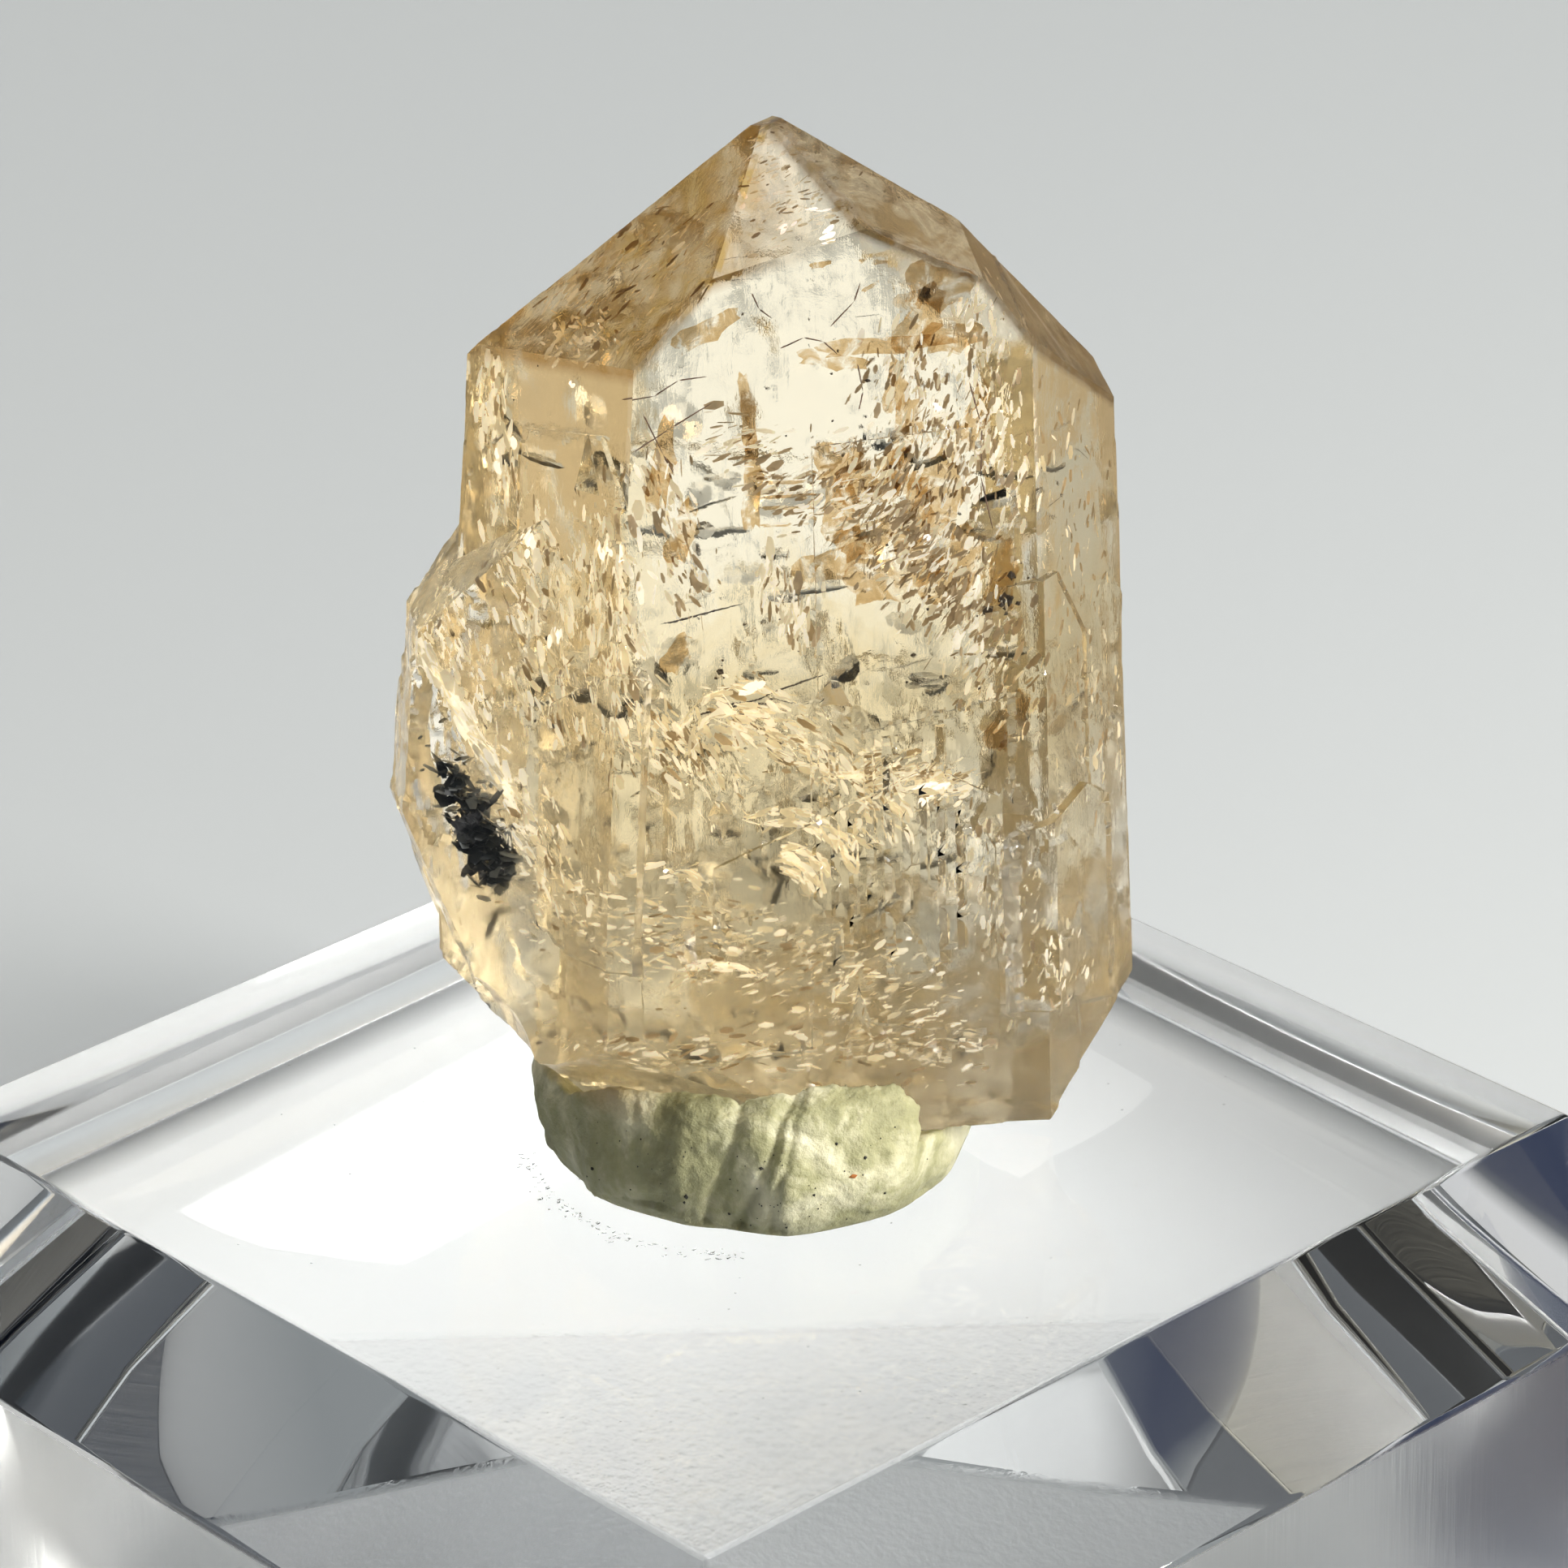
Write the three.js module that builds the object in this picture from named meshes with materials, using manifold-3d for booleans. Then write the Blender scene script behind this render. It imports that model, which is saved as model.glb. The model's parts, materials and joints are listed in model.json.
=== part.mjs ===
// A rough topaz crystal standing in a pat of putty on a clear bevelled block.
// Millimetres, +Z up. The origin is the middle of the block's underside.
import * as THREE from 'three';
import { mergeVertices } from 'three/addons/utils/BufferGeometryUtils.js';
import Module from 'manifold-3d';

const wasm = await Module();
wasm.setup();

// Display block
const blockSide = 31.75;
const blockHeight = 12.7;
const blockBevel = 3.175;

// Putty foot, measured from the middle of the block's top
const puttyCentre = new THREE.Vector2(0.45, -1.05);
const puttyHalfWidth = 4.9;
const puttyHalfDepth = 4.9;
const puttyHeight = 3.3;
const puttyAround = 64;
const restGap = 0.03;
const socketGap = 0.2;
// The putty's side from its underside up: share of the half width, share of the height
const puttySide = [
  [0, 0], [0.5, 0], [0.86, 0], [0.94, 0.05], [0.985, 0.2], [1, 0.38],
  [0.99, 0.56], [0.95, 0.74], [0.88, 0.88], [0.76, 0.97], [0.5, 1], [0, 1],
];
// Slack swellings round the pat: how many, how much of the width, and the angle where they start
const puttySwells = [
  { count: 3, share: 0.03, start: 0.4 },
  { count: 7, share: 0.018, start: 2.0 },
];
// The putty's rim rises and sinks by a share of its height, twice round the pat
const rimSway = 0.05;
const rimStart = -0.8;
// Pleats pressed into the putty by a thumb: the way each faces, its width in degrees and its depth
const puttyPleats = [
  { facing: -62, width: 9, depth: 0.30 },
  { facing: -12, width: 6, depth: 0.42 },
  { facing: -3, width: 5, depth: 0.34 },
  { facing: 48, width: 9, depth: 0.26 },
  { facing: 120, width: 10, depth: 0.40 },
  { facing: -150, width: 12, depth: 0.36 },
];
// A pleat reaches in to this share of the half width, and starts a little below the pat's underside
const pleatReach = 0.8;
const pleatStart = 0.15;

// Crystal: the whole specimen is turned on the block, and the crystal leans back in its putty
const specimenTurn = 47.7;
const crystalLean = 10;
const crystalFoot = new THREE.Vector3(0.8, -0.8, 1.0);
const crystalHeart = new THREE.Vector3(0, 0, 9);
const roughBlank = 40;
const sunk = 0.4;

// Each face: the way it faces round the crystal's axis (0 is the front, positive to the right), how far
// its normal slopes up, both in degrees, and how far it lies from the heart of the crystal.
const prismFaces = {
  frontLeft: { facing: -50, slope: 4, reach: 5.15 },
  front: { facing: 8, slope: 1, reach: 3.8 },
  frontRight: { facing: 54, slope: 1, reach: 6.4 },
  backRight: { facing: 118, slope: 1, reach: 6.45 },
  back: { facing: 187, slope: 1, reach: 5.2 },
  backLeft: { facing: -123, slope: 4, reach: 5.75 },
};
const roofFaces = {
  roofLeft: { facing: -52, slope: 39, reach: 8.6 },
  roofFront: { facing: -5, slope: 40, reach: 9.3 },
  roofRight: { facing: 47, slope: 53, reach: 10.92 },
  roofShoulder: { facing: 80, slope: 36, reach: 9.75 },
  roofBackRight: { facing: 121, slope: 45.2, reach: 9.39 },
  roofBackTip: { facing: 120, slope: 54, reach: 10.17 },
  roofBackLeft: { facing: -126, slope: 49, reach: 9.0 },
  tipChip: { facing: -80, slope: 78, reach: 12.35 },
};
const baseFaces = {
  underside: { facing: 180, slope: -80, reach: 8.0 },
  brokenLeft: { facing: -80, slope: -46, reach: 9.0 },
  brokenFront: { facing: -20, slope: -52, reach: 8.5 },
  brokenBack: { facing: 170, slope: -50, reach: 8.2 },
  brokenRight: { facing: 92, slope: -40, reach: 9.9 },
};
// A second crystal grown into the left side, and its own faces
const bulgeFaces = {
  shoulder: { facing: -75, slope: 42, reach: 6.75 },
  upper: { facing: -84, slope: 21, reach: 7.85 },
  middle: { facing: -80, slope: 7, reach: 7.65 },
  lower: { facing: -78, slope: -19, reach: 8.15 },
  front: { facing: -27, slope: 4, reach: 4.5 },
  back: { facing: -140, slope: 4, reach: 5.6 },
  inside: { facing: 90, slope: 0, reach: -2.6 },
};

// Growth layers: raised plates on a face. along and up are measured on the face from the point nearest
// the crystal's heart; proud is the height of the step.
const plateCorner = 0.22;
const growthLayers = [
  { on: 'frontRight', along: 0.2, up: -1.2, width: 4.4, height: 8.6, proud: 0.2, skew: 0.5 },
  { on: 'frontRight', along: 0.9, up: -3.9, width: 3.8, height: 4.6, proud: 0.42, skew: -0.4 },
  { on: 'backRight', along: -1.2, up: -0.4, width: 4.6, height: 9.4, proud: 0.22, skew: 0.4 },
  { on: 'backRight', along: -1.4, up: -3.6, width: 3.6, height: 5.0, proud: 0.46, skew: 0.5 },
  { on: 'front', along: 2.6, up: 3.2, width: 4.2, height: 6.4, proud: 0.12, skew: 0.7 },
  { on: 'front', along: 1.2, up: -3.4, width: 6.0, height: 5.2, proud: 0.16, skew: -0.6 },
  { on: 'front', along: -1.6, up: -5.4, width: 3.6, height: 3.4, proud: 0.26, skew: 0.4 },
  { on: 'frontLeft', along: -0.4, up: 3.4, width: 3.4, height: 5.6, proud: 0.14, skew: 0.5 },
  { on: 'frontLeft', along: 0.4, up: -1.8, width: 3.2, height: 6.2, proud: 0.22, skew: -0.5 },
  { on: 'back', along: 1.4, up: 1.2, width: 5.2, height: 7.8, proud: 0.2, skew: 0.6 },
  { on: 'back', along: -1.2, up: -3.4, width: 4.8, height: 6.2, proud: 0.26, skew: -0.5 },
  { on: 'backLeft', along: 0.8, up: 1.6, width: 4.6, height: 6.4, proud: 0.18, skew: 0.5 },
];
// Etch pits: hollows with flat sides, sunk in a face, narrower across it than up it
const pitAcross = 0.7;
const pitUp = 1.3;
const etchPits = [
  { on: 'front', along: -1.6, up: -1.6, radius: 0.42, depth: 0.2, sides: 4 },
  { on: 'front', along: 0.8, up: 0.6, radius: 0.36, depth: 0.18, sides: 4 },
  { on: 'front', along: 4.4, up: -2.0, radius: 0.5, depth: 0.24, sides: 4 },
  { on: 'front', along: 1.2, up: -6.4, radius: 0.5, depth: 0.4, sides: 3 },
  { on: 'front', along: -2.2, up: -4.0, radius: 0.5, depth: 0.24, sides: 4 },
  { on: 'frontLeft', along: 0.2, up: 5.4, radius: 0.36, depth: 0.16, sides: 3 },
  { on: 'frontRight', along: -0.4, up: 4.8, radius: 0.34, depth: 0.16, sides: 4 },
  { on: 'roofLeft', along: -1.4, up: -0.6, radius: 0.42, depth: 0.13, sides: 3 },
  { on: 'roofLeft', along: 0.8, up: 1.2, radius: 0.36, depth: 0.12, sides: 3 },
  { on: 'roofFront', along: 0.3, up: 0.9, radius: 0.3, depth: 0.1, sides: 3 },
  { on: 'roofBackLeft', along: 0.6, up: 0.4, radius: 0.45, depth: 0.14, sides: 3 },
  { on: 'roofBackRight', along: 0.2, up: -0.6, radius: 0.5, depth: 0.15, sides: 3 },
  { on: 'back', along: 0.2, up: 5.6, radius: 0.5, depth: 0.2, sides: 4 },
  { on: 'back', along: -2.6, up: 2.2, radius: 0.45, depth: 0.2, sides: 3 },
  { on: 'backLeft', along: -1.4, up: 4.6, radius: 0.4, depth: 0.18, sides: 4 },
  { on: 'backRight', along: 2.2, up: 2.8, radius: 0.45, depth: 0.2, sides: 3 },
];
// Shell-shaped breaks round the crystal's foot, in the crystal's own frame
const shellBreaks = [
  { at: [-1.6, -6.6, 0.2], radius: 3.0 },
  { at: [2.6, -6.2, -0.6], radius: 2.6 },
  { at: [-7.6, -3.0, 1.6], radius: 2.4 },
  { at: [8.6, 1.6, 1.0], radius: 2.6 },
  { at: [3.2, 7.4, 1.4], radius: 3.2 },
  { at: [-3.6, 7.0, 2.8], radius: 2.8 },
];
// Striations: narrow ridges of uneven length that run up the front face, on its lower growth layer
const ridgeCount = 9;
const ridgeWidth = 0.2;
const ridgeCrown = 0.04;
const ridgeHeight = 0.06;
const ridgeShoulder = 0.006;
const ridgeBase = 0.16;
const ridgeSpacing = 0.38;
const firstRidge = 0.4;
const ridgeMiddle = -2.6;
const ridgeSway = 0.6;
const ridgeLength = 3.6;
const ridgeUneven = 1.6;

const radians = THREE.MathUtils.degToRad;

function solidOf(geometry) {
  const bare = geometry.clone();
  bare.deleteAttribute('normal');
  bare.deleteAttribute('uv');
  const merged = mergeVertices(bare, 1e-5);
  return new wasm.Manifold(new wasm.Mesh({
    numProp: 3,
    vertProperties: new Float32Array(merged.attributes.position.array),
    triVerts: new Uint32Array(merged.index.array),
  }));
}

function geometryOf(solid) {
  const mesh = solid.getMesh();
  const geometry = new THREE.BufferGeometry();
  geometry.setAttribute('position', new THREE.BufferAttribute(mesh.vertProperties, 3));
  geometry.setIndex(new THREE.BufferAttribute(mesh.triVerts, 1));
  geometry.computeVertexNormals();
  return geometry;
}

function faceNormal(face) {
  const level = Math.cos(radians(face.slope));
  return new THREE.Vector3(
    Math.sin(radians(face.facing)) * level,
    -Math.cos(radians(face.facing)) * level,
    Math.sin(radians(face.slope)),
  );
}

// A frame on a face: x runs level along it, y runs up it and z points out of the crystal
function faceFrame(face, along, up, proud = 0) {
  const out = faceNormal(face);
  const level = new THREE.Vector3(Math.cos(radians(face.facing)), Math.sin(radians(face.facing)), 0);
  const rise = new THREE.Vector3().crossVectors(out, level);
  const spot = crystalHeart.clone()
    .addScaledVector(out, face.reach + proud)
    .addScaledVector(level, along)
    .addScaledVector(rise, up);
  return new THREE.Matrix4().makeBasis(level, rise, out).setPosition(spot);
}

// What lies outside a face, as one big box standing on it
function outsideOf(face, grow) {
  const box = new THREE.BoxGeometry(2 * roughBlank, 2 * roughBlank, roughBlank);
  box.translate(0, 0, roughBlank / 2);
  box.applyMatrix4(faceFrame(face, 0, 0, grow));
  return solidOf(box);
}

function crystalForm(faces, grow = 0) {
  const blank = new THREE.BoxGeometry(roughBlank, roughBlank, roughBlank);
  blank.translate(0, 0, crystalHeart.z);
  let form = solidOf(blank);
  for (const face of Object.values(faces)) {
    form = form.subtract(outsideOf(face, grow));
  }
  return form;
}

// A six-sided plate with one skewed end, as a growth layer ends
function growthLayer({ on, along, up, width, height, proud, skew }) {
  const halfWidth = width / 2;
  const halfHeight = height / 2;
  const cut = plateCorner * width;
  const outline = new THREE.Shape([
    new THREE.Vector2(-halfWidth, -halfHeight + cut),
    new THREE.Vector2(-halfWidth + cut, -halfHeight),
    new THREE.Vector2(halfWidth, -halfHeight + cut * skew),
    new THREE.Vector2(halfWidth, halfHeight - cut - skew),
    new THREE.Vector2(halfWidth - cut, halfHeight),
    new THREE.Vector2(-halfWidth, halfHeight - cut + skew),
  ]);
  const plate = new THREE.ExtrudeGeometry(outline, { depth: proud + sunk, bevelEnabled: false });
  plate.translate(0, 0, -sunk);
  return solidOf(plate.applyMatrix4(faceFrame(prismFaces[on], along, up)));
}

function etchPit({ on, along, up, radius, depth, sides }) {
  const cone = new THREE.ConeGeometry(2 * radius, 2 * depth, sides);
  cone.rotateX(-Math.PI / 2);
  cone.scale(pitAcross, pitUp, 1);
  return solidOf(cone.applyMatrix4(faceFrame({ ...prismFaces, ...roofFaces }[on], along, up)));
}

function striation(index) {
  const halfWidth = ridgeWidth / 2;
  const outline = new THREE.Shape([
    new THREE.Vector2(-halfWidth, -sunk),
    new THREE.Vector2(halfWidth, -sunk),
    new THREE.Vector2(halfWidth, ridgeShoulder),
    new THREE.Vector2(ridgeCrown, ridgeHeight),
    new THREE.Vector2(-halfWidth, ridgeShoulder),
  ]);
  const length = ridgeLength + ridgeUneven * Math.sin(2 * index);
  const ridge = new THREE.ExtrudeGeometry(outline, { depth: length, bevelEnabled: false });
  ridge.rotateX(Math.PI / 2);
  ridge.translate(0, length / 2, 0);
  const along = firstRidge + ridgeSpacing * index;
  const up = ridgeMiddle + ridgeSway * Math.cos(2 * index);
  return solidOf(ridge.applyMatrix4(faceFrame(prismFaces.front, along, up, ridgeBase)));
}

function shellBreak({ at, radius }) {
  const ball = new THREE.IcosahedronGeometry(radius, 4);
  ball.translate(...at);
  return solidOf(ball);
}

function buildCrystal(grow = 0) {
  const main = crystalForm({ ...prismFaces, ...roofFaces, ...baseFaces }, grow);
  const bulge = crystalForm({ ...bulgeFaces, ...roofFaces, ...baseFaces }, grow);
  return main.add(bulge);
}

function dressCrystal() {
  const ends = crystalForm({ ...roofFaces, ...baseFaces });
  let crystal = buildCrystal();
  for (const layer of growthLayers) {
    const sides = crystalForm(prismFaces, layer.proud);
    crystal = crystal.add(growthLayer(layer).intersect(sides).intersect(ends));
  }
  for (let index = 0; index < ridgeCount; index += 1) {
    crystal = crystal.add(striation(index).intersect(ends));
  }
  for (const pit of etchPits) {
    crystal = crystal.subtract(etchPit(pit));
  }
  for (const shell of shellBreaks) {
    crystal = crystal.subtract(shellBreak(shell));
  }
  return crystal;
}

function placeInPutty(geometry) {
  const lean = new THREE.Matrix4().makeRotationX(-radians(crystalLean));
  lean.setPosition(crystalFoot);
  return geometry.applyMatrix4(lean);
}

function pleatDepth(angle) {
  let depth = 0;
  for (const pleat of puttyPleats) {
    const away = Math.abs(THREE.MathUtils.euclideanModulo(angle - pleat.facing + 180, 360) - 180);
    depth += pleat.depth * Math.exp(-((away / pleat.width) ** 2));
  }
  return depth;
}

// How far out the putty reaches at an angle, as a share of its plain outline
function swellAt(turn) {
  let share = 1;
  for (const swell of puttySwells) {
    share += swell.share * Math.sin(swell.count * turn + swell.start);
  }
  return share;
}

function buildPutty() {
  const side = puttySide.map(([out, up]) => new THREE.Vector2(out, up));
  const pat = new THREE.LatheGeometry(side, puttyAround);
  pat.rotateX(Math.PI / 2);
  const spots = pat.attributes.position;
  for (let i = 0; i < spots.count; i += 1) {
    const up = spots.getZ(i);
    const turn = Math.atan2(spots.getX(i), -spots.getY(i));
    const spread = Math.hypot(spots.getX(i), spots.getY(i));
    const press = Math.sin(Math.PI * Math.min(1, up + pleatStart));
    const pleats = spread > pleatReach ? pleatDepth(THREE.MathUtils.radToDeg(turn)) * press : 0;
    const out = spread * swellAt(turn) - pleats / puttyHalfWidth;
    const crest = 1 + rimSway * Math.sin(2 * turn + rimStart) * spread;
    spots.setXYZ(
      i,
      puttyCentre.x + puttyHalfWidth * out * Math.sin(turn),
      puttyCentre.y - puttyHalfDepth * out * Math.cos(turn),
      restGap + puttyHeight * up * crest,
    );
  }
  const socket = placeInPutty(geometryOf(buildCrystal(socketGap)));
  return solidOf(pat).subtract(solidOf(socket));
}

function buildBlock() {
  const half = blockSide / 2;
  const outline = new THREE.Shape([
    new THREE.Vector2(-half, -half),
    new THREE.Vector2(half, -half),
    new THREE.Vector2(half, half),
    new THREE.Vector2(-half, half),
  ]);
  let block = solidOf(new THREE.ExtrudeGeometry(outline, { depth: blockHeight, bevelEnabled: false }));
  for (const quarter of [0, 1, 2, 3]) {
    const cut = new THREE.BoxGeometry(2 * blockSide, blockSide, blockSide);
    cut.translate(0, -blockSide / 2, 0);
    cut.rotateX(-Math.PI / 4);
    cut.translate(0, -half + blockBevel / 2, blockHeight - blockBevel / 2);
    cut.rotateZ(quarter * Math.PI / 2);
    block = block.subtract(solidOf(cut));
  }
  return block;
}

function meshOf(name, geometry, colour, roughness) {
  const material = new THREE.MeshStandardMaterial({ color: colour, roughness, metalness: 0 });
  const mesh = new THREE.Mesh(geometry, material);
  mesh.name = name;
  return mesh;
}

const crystal = meshOf('topaz_crystal', geometryOf(dressCrystal()), 0xcfa878, 0.15);
crystal.position.copy(crystalFoot);
crystal.rotation.x = -radians(crystalLean);

const putty = meshOf('putty_foot', geometryOf(buildPutty()), 0xb9bda6, 0.75);

const specimen = new THREE.Group();
specimen.position.z = blockHeight;
specimen.rotation.z = radians(specimenTurn);
specimen.add(crystal, putty);

const block = meshOf('display_block', geometryOf(buildBlock()), 0xe4eaee, 0.05);

const part = new THREE.Group();
part.add(specimen, block);
export default part;
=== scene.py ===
# A champagne topaz crystal in a pat of putty on a clear bevelled block.
import json
import math
import random

import bpy
from mathutils import Matrix, Vector, noise

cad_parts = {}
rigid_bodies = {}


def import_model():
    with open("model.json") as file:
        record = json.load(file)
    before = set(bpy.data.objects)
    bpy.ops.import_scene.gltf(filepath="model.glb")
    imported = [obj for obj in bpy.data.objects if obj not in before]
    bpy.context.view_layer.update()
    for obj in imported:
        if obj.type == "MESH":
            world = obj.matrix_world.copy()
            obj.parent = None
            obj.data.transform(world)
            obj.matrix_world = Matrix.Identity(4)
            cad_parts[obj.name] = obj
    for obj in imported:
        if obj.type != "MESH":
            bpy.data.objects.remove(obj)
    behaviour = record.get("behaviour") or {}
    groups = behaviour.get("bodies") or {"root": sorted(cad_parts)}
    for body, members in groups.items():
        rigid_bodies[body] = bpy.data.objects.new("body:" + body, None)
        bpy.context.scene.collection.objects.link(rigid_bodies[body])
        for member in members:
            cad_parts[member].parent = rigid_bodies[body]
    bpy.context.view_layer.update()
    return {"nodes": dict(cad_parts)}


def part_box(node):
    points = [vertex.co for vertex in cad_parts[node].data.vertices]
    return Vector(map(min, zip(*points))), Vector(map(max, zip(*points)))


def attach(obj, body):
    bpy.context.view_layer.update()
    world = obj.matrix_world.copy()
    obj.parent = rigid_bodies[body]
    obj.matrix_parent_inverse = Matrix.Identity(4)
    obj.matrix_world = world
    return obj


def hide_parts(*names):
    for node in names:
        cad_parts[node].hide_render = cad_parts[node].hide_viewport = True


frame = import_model()

# Pieces are modelled in millimetres and brought to metres when they are done
MM = 0.001

# The specimen: how it is turned on the block, how the crystal leans and where its foot stands
SPECIMEN_TURN = math.radians(47.7)
CRYSTAL_LEAN = math.radians(10)
CRYSTAL_FOOT = Vector((0.8, -0.8, 1.0))
BLOCK_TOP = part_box("display_block")[1].z / MM
BLOCK_SIDE = (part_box("display_block")[1].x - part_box("display_block")[0].x) / MM
BLOCK_BEVEL = 3.175

# The crystal's front faces: the way each faces round its axis and how far its normal slopes up, in
# degrees, and how far it lies from the crystal's heart
HEART = Vector((0, 0, 9))
FACES = {
    "front": (8, 1, 3.8), "roof_front": (-5, 40, 9.3), "roof_left": (-52, 39, 8.6),
    "roof_right": (47, 53, 10.92), "roof_shoulder": (80, 36, 9.75),
}

# The camera: the way it looks, its roll, and the block top's middle as it sees it
CAMERA_TURN = math.radians(47.72)
CAMERA_HEIGHT = math.radians(26.27)
CAMERA_ROLL = math.radians(-1.42)
CAMERA_OFFSET = Vector((0.90, 7.24, 156.64))
CAMERA_LENS = 164.3
CAMERA_SENSOR = 36
CAMERA_NEAR = 0.005

# How strongly each clear stuff bends light
TOPAZ_BENDING = 1.62
ACRYLIC_BENDING = 1.49
GREASE_BENDING = 1.42
CRACK_BENDING = 1.85

# How strongly the paper under the block glows with the light that the block gathers
UNDERGLOW = 0.66
# How strongly the paper glows where the crystal hides it from the camera, to shine through the crystal
BACKGLOW = 0.5

# How far in front of the specimen a ray starts that looks for its skin, and how near points are joined
WELL_IN_FRONT = 20
WELD = 0.001


def specimen_matrix():
    """From the specimen's own frame, x to the right of the photograph and y away from it, to the block's."""
    return Matrix.Translation((0, 0, BLOCK_TOP)) @ Matrix.Rotation(SPECIMEN_TURN, 4, "Z")


def leaning_matrix():
    """From the crystal's own frame, in which it stands upright, to the specimen's."""
    return Matrix.Translation(CRYSTAL_FOOT) @ Matrix.Rotation(-CRYSTAL_LEAN, 4, "X")


def crystal_matrix():
    return specimen_matrix() @ leaning_matrix()


def face_normal(name):
    turn, rise = [math.radians(degrees) for degrees in FACES[name][:2]]
    return Vector((math.sin(turn) * math.cos(rise), -math.cos(turn) * math.cos(rise), math.sin(rise)))


def under_skin(crystal, across, up, depth):
    """The place so deep behind the crystal's front, in the specimen's frame, or None beside the crystal."""
    own = crystal_matrix()
    start = own @ Vector((across, -WELL_IN_FRONT, up)) * MM
    hit, spot = crystal.ray_cast(start, own.to_3x3() @ Vector((0, 1, 0)))[:2]
    if not hit:
        return None
    return specimen_matrix().inverted() @ (spot / MM) + leaning_matrix().to_3x3() @ Vector((0, depth, 0))


def pick_only(piece):
    bpy.ops.object.select_all(action="DESELECT")
    piece.select_set(True)
    bpy.context.view_layer.objects.active = piece


def scale_by(piece, factor):
    pick_only(piece)
    piece.scale = (factor, factor, factor)
    bpy.ops.object.transform_apply(location=True, rotation=True, scale=True)


def copied_node(node, name):
    """A copy of a CAD node in millimetres, with its loose triangles joined."""
    pick_only(frame["nodes"][node])
    bpy.ops.object.duplicate()
    piece = bpy.context.active_object
    bpy.ops.object.parent_clear(type="CLEAR_KEEP_TRANSFORM")
    piece.name = name
    piece.data.name = name
    scale_by(piece, 1 / MM)
    bpy.ops.object.mode_set(mode="EDIT")
    bpy.ops.mesh.select_all(action="SELECT")
    bpy.ops.mesh.remove_doubles(threshold=WELD)
    bpy.ops.object.mode_set(mode="OBJECT")
    return piece


def apply_modifier(piece, kind, name, **values):
    modifier = piece.modifiers.new(name, kind)
    for key, value in values.items():
        setattr(modifier, key, value)
    pick_only(piece)
    bpy.ops.object.modifier_apply(modifier=modifier.name)


def smooth_by_angle(piece, degrees):
    pick_only(piece)
    bpy.ops.object.shade_smooth_by_angle(angle=math.radians(degrees))


def finish_piece(piece, material, slot, *nodes):
    """Brings a piece to metres, gives it its material and makes it part of the object."""
    scale_by(piece, MM)
    piece.vertex_groups.clear()
    piece.data.materials.clear()
    piece.data.materials.append(material)
    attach(piece, "root")
    if nodes:
        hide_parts(*nodes)
    return piece


def ramp(value, low, high):
    share = max(0.0, min(1.0, (value - low) / (high - low)))
    return share * share * (3 - 2 * share)


# Materials

# The noises behind the finishes: scale per millimetre, detail, roughness and distortion
WINDOW_EDGE = (0.55, 4.0, 0.6, 1.2)
ROOF_BLOTCHES = (0.9, 5.0, 0.65, 0.8)
FLANK_BLOTCHES = (1.3, 5.0, 0.65, 0.8)
FILM_RAGS = (1.7, 5.0, 0.7, 0.8)
ETCHING = (0.9, 6.0, 0.7, 0.4)
STREAKS = (1.6, 4.0, 0.6, 0.3)
SKIN_PATCHES = (0.35, 4.0)
SAW_MARKS = (0.6, 3.0, 0.6)
FINGER_SMEARS = (0.12, 4.0)
PUTTY_BLOTCHES = (0.45, 5.0, 0.6, 0.6)
PUTTY_GRAIN = (5.0, 4.0, 0.65)
PUTTY_LUMPS = (1.2, 3.0)
SOFT_BLOTCHES = (2.5, 3.0)
CLEAR_BLOTCHES = (1.5, 2.0)

# How noise turns into roughness: from and to on the noise, and the roughness there
CLEAR_ROUGHNESS = (0.4, 0.7, 0.0, 0.12)
PATCH_ROUGHNESS = (0.45, 0.7, 0.0, 0.10)

# The topaz: its skin where it is clear and where golden shade is painted on it, and the tint that light takes
# on inside it
CLEAR_SKIN = (1.0, 0.995, 0.985)
GOLDEN_SHADE_PAINT = (0.88, 0.79, 0.60)
# Painted shade on the roof: deep tan at the left and brown at the right
ROOF_TAN_SHADE = (0.34, 0.185, 0.04)
ROOF_BROWN_SHADE = (0.11, 0.06, 0.018)
TOPAZ_TINT = (0.89, 0.69, 0.14, 1)
TOPAZ_DENSITY = 42

# The painted golden shade, in the crystal's frame: where the clear window fades in at its left, right, foot
# and back
WINDOW_LEFT = (-3.1, -2.7)
WINDOW_RIGHT = (7.0, 5.6)
WINDOW_FOOT = (7.5, 13.5)
WINDOW_BACK = (0.0, 0.5)
# How far the noise eats into the window, and between which values the painted shade sets in
WINDOW_RAGGED = -1.1
WINDOW_LIMITS = (0.16, -0.10)
# Where the paler bulge and foot begin, and how much of the painted shade is left there
BULGE_SIDE, BULGE_TOP = (-4.6, -5.6), (13.0, 11.5)
FOOT_SIDE, FOOT_TOP = (2.0, 4.0), (8.5, 6.5)
PALE_SHARE = 0.18
# The deep painted shade on the roof and the right flank: from and to, and its share there
ROOF_FADE = (1.6, 0.0, 0.15, 0.9)
ROOF_TONE = (0.40, 0.66, 1.0, 0.6)
FLANK_FADE = (5.7, 6.4, 0.0, 0.25)
FLANK_FOOT = (6.0, 9.0)
FLANK_TONE = (0.42, 0.70, 1.0, 0.78)
# How deep under a face's plane its skin begins and is full
SKIN_DEPTH = (0.22, 0.08)

# Haze on the crystal's skin: where its back begins, and how rough the back and the foot get by height
BACK_BEGINS = (1.0, 2.0)
BACK_FROST = (14.0, 8.0, 0.0, 0.26)
FOOT_HAZE = (9.5, 5.0, 0.0, 0.17)
# Bumps: strength and height in metres
ETCHED_BUMP = (0.22, 0.00006)
SAWN_BUMP = (0.25, 0.00005)
PUTTY_BUMP = (0.6, 0.00012)
STREAK_STRETCH = (3.2, 3.2, 0.5)
STREAK_SHARE = 0.5

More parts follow.
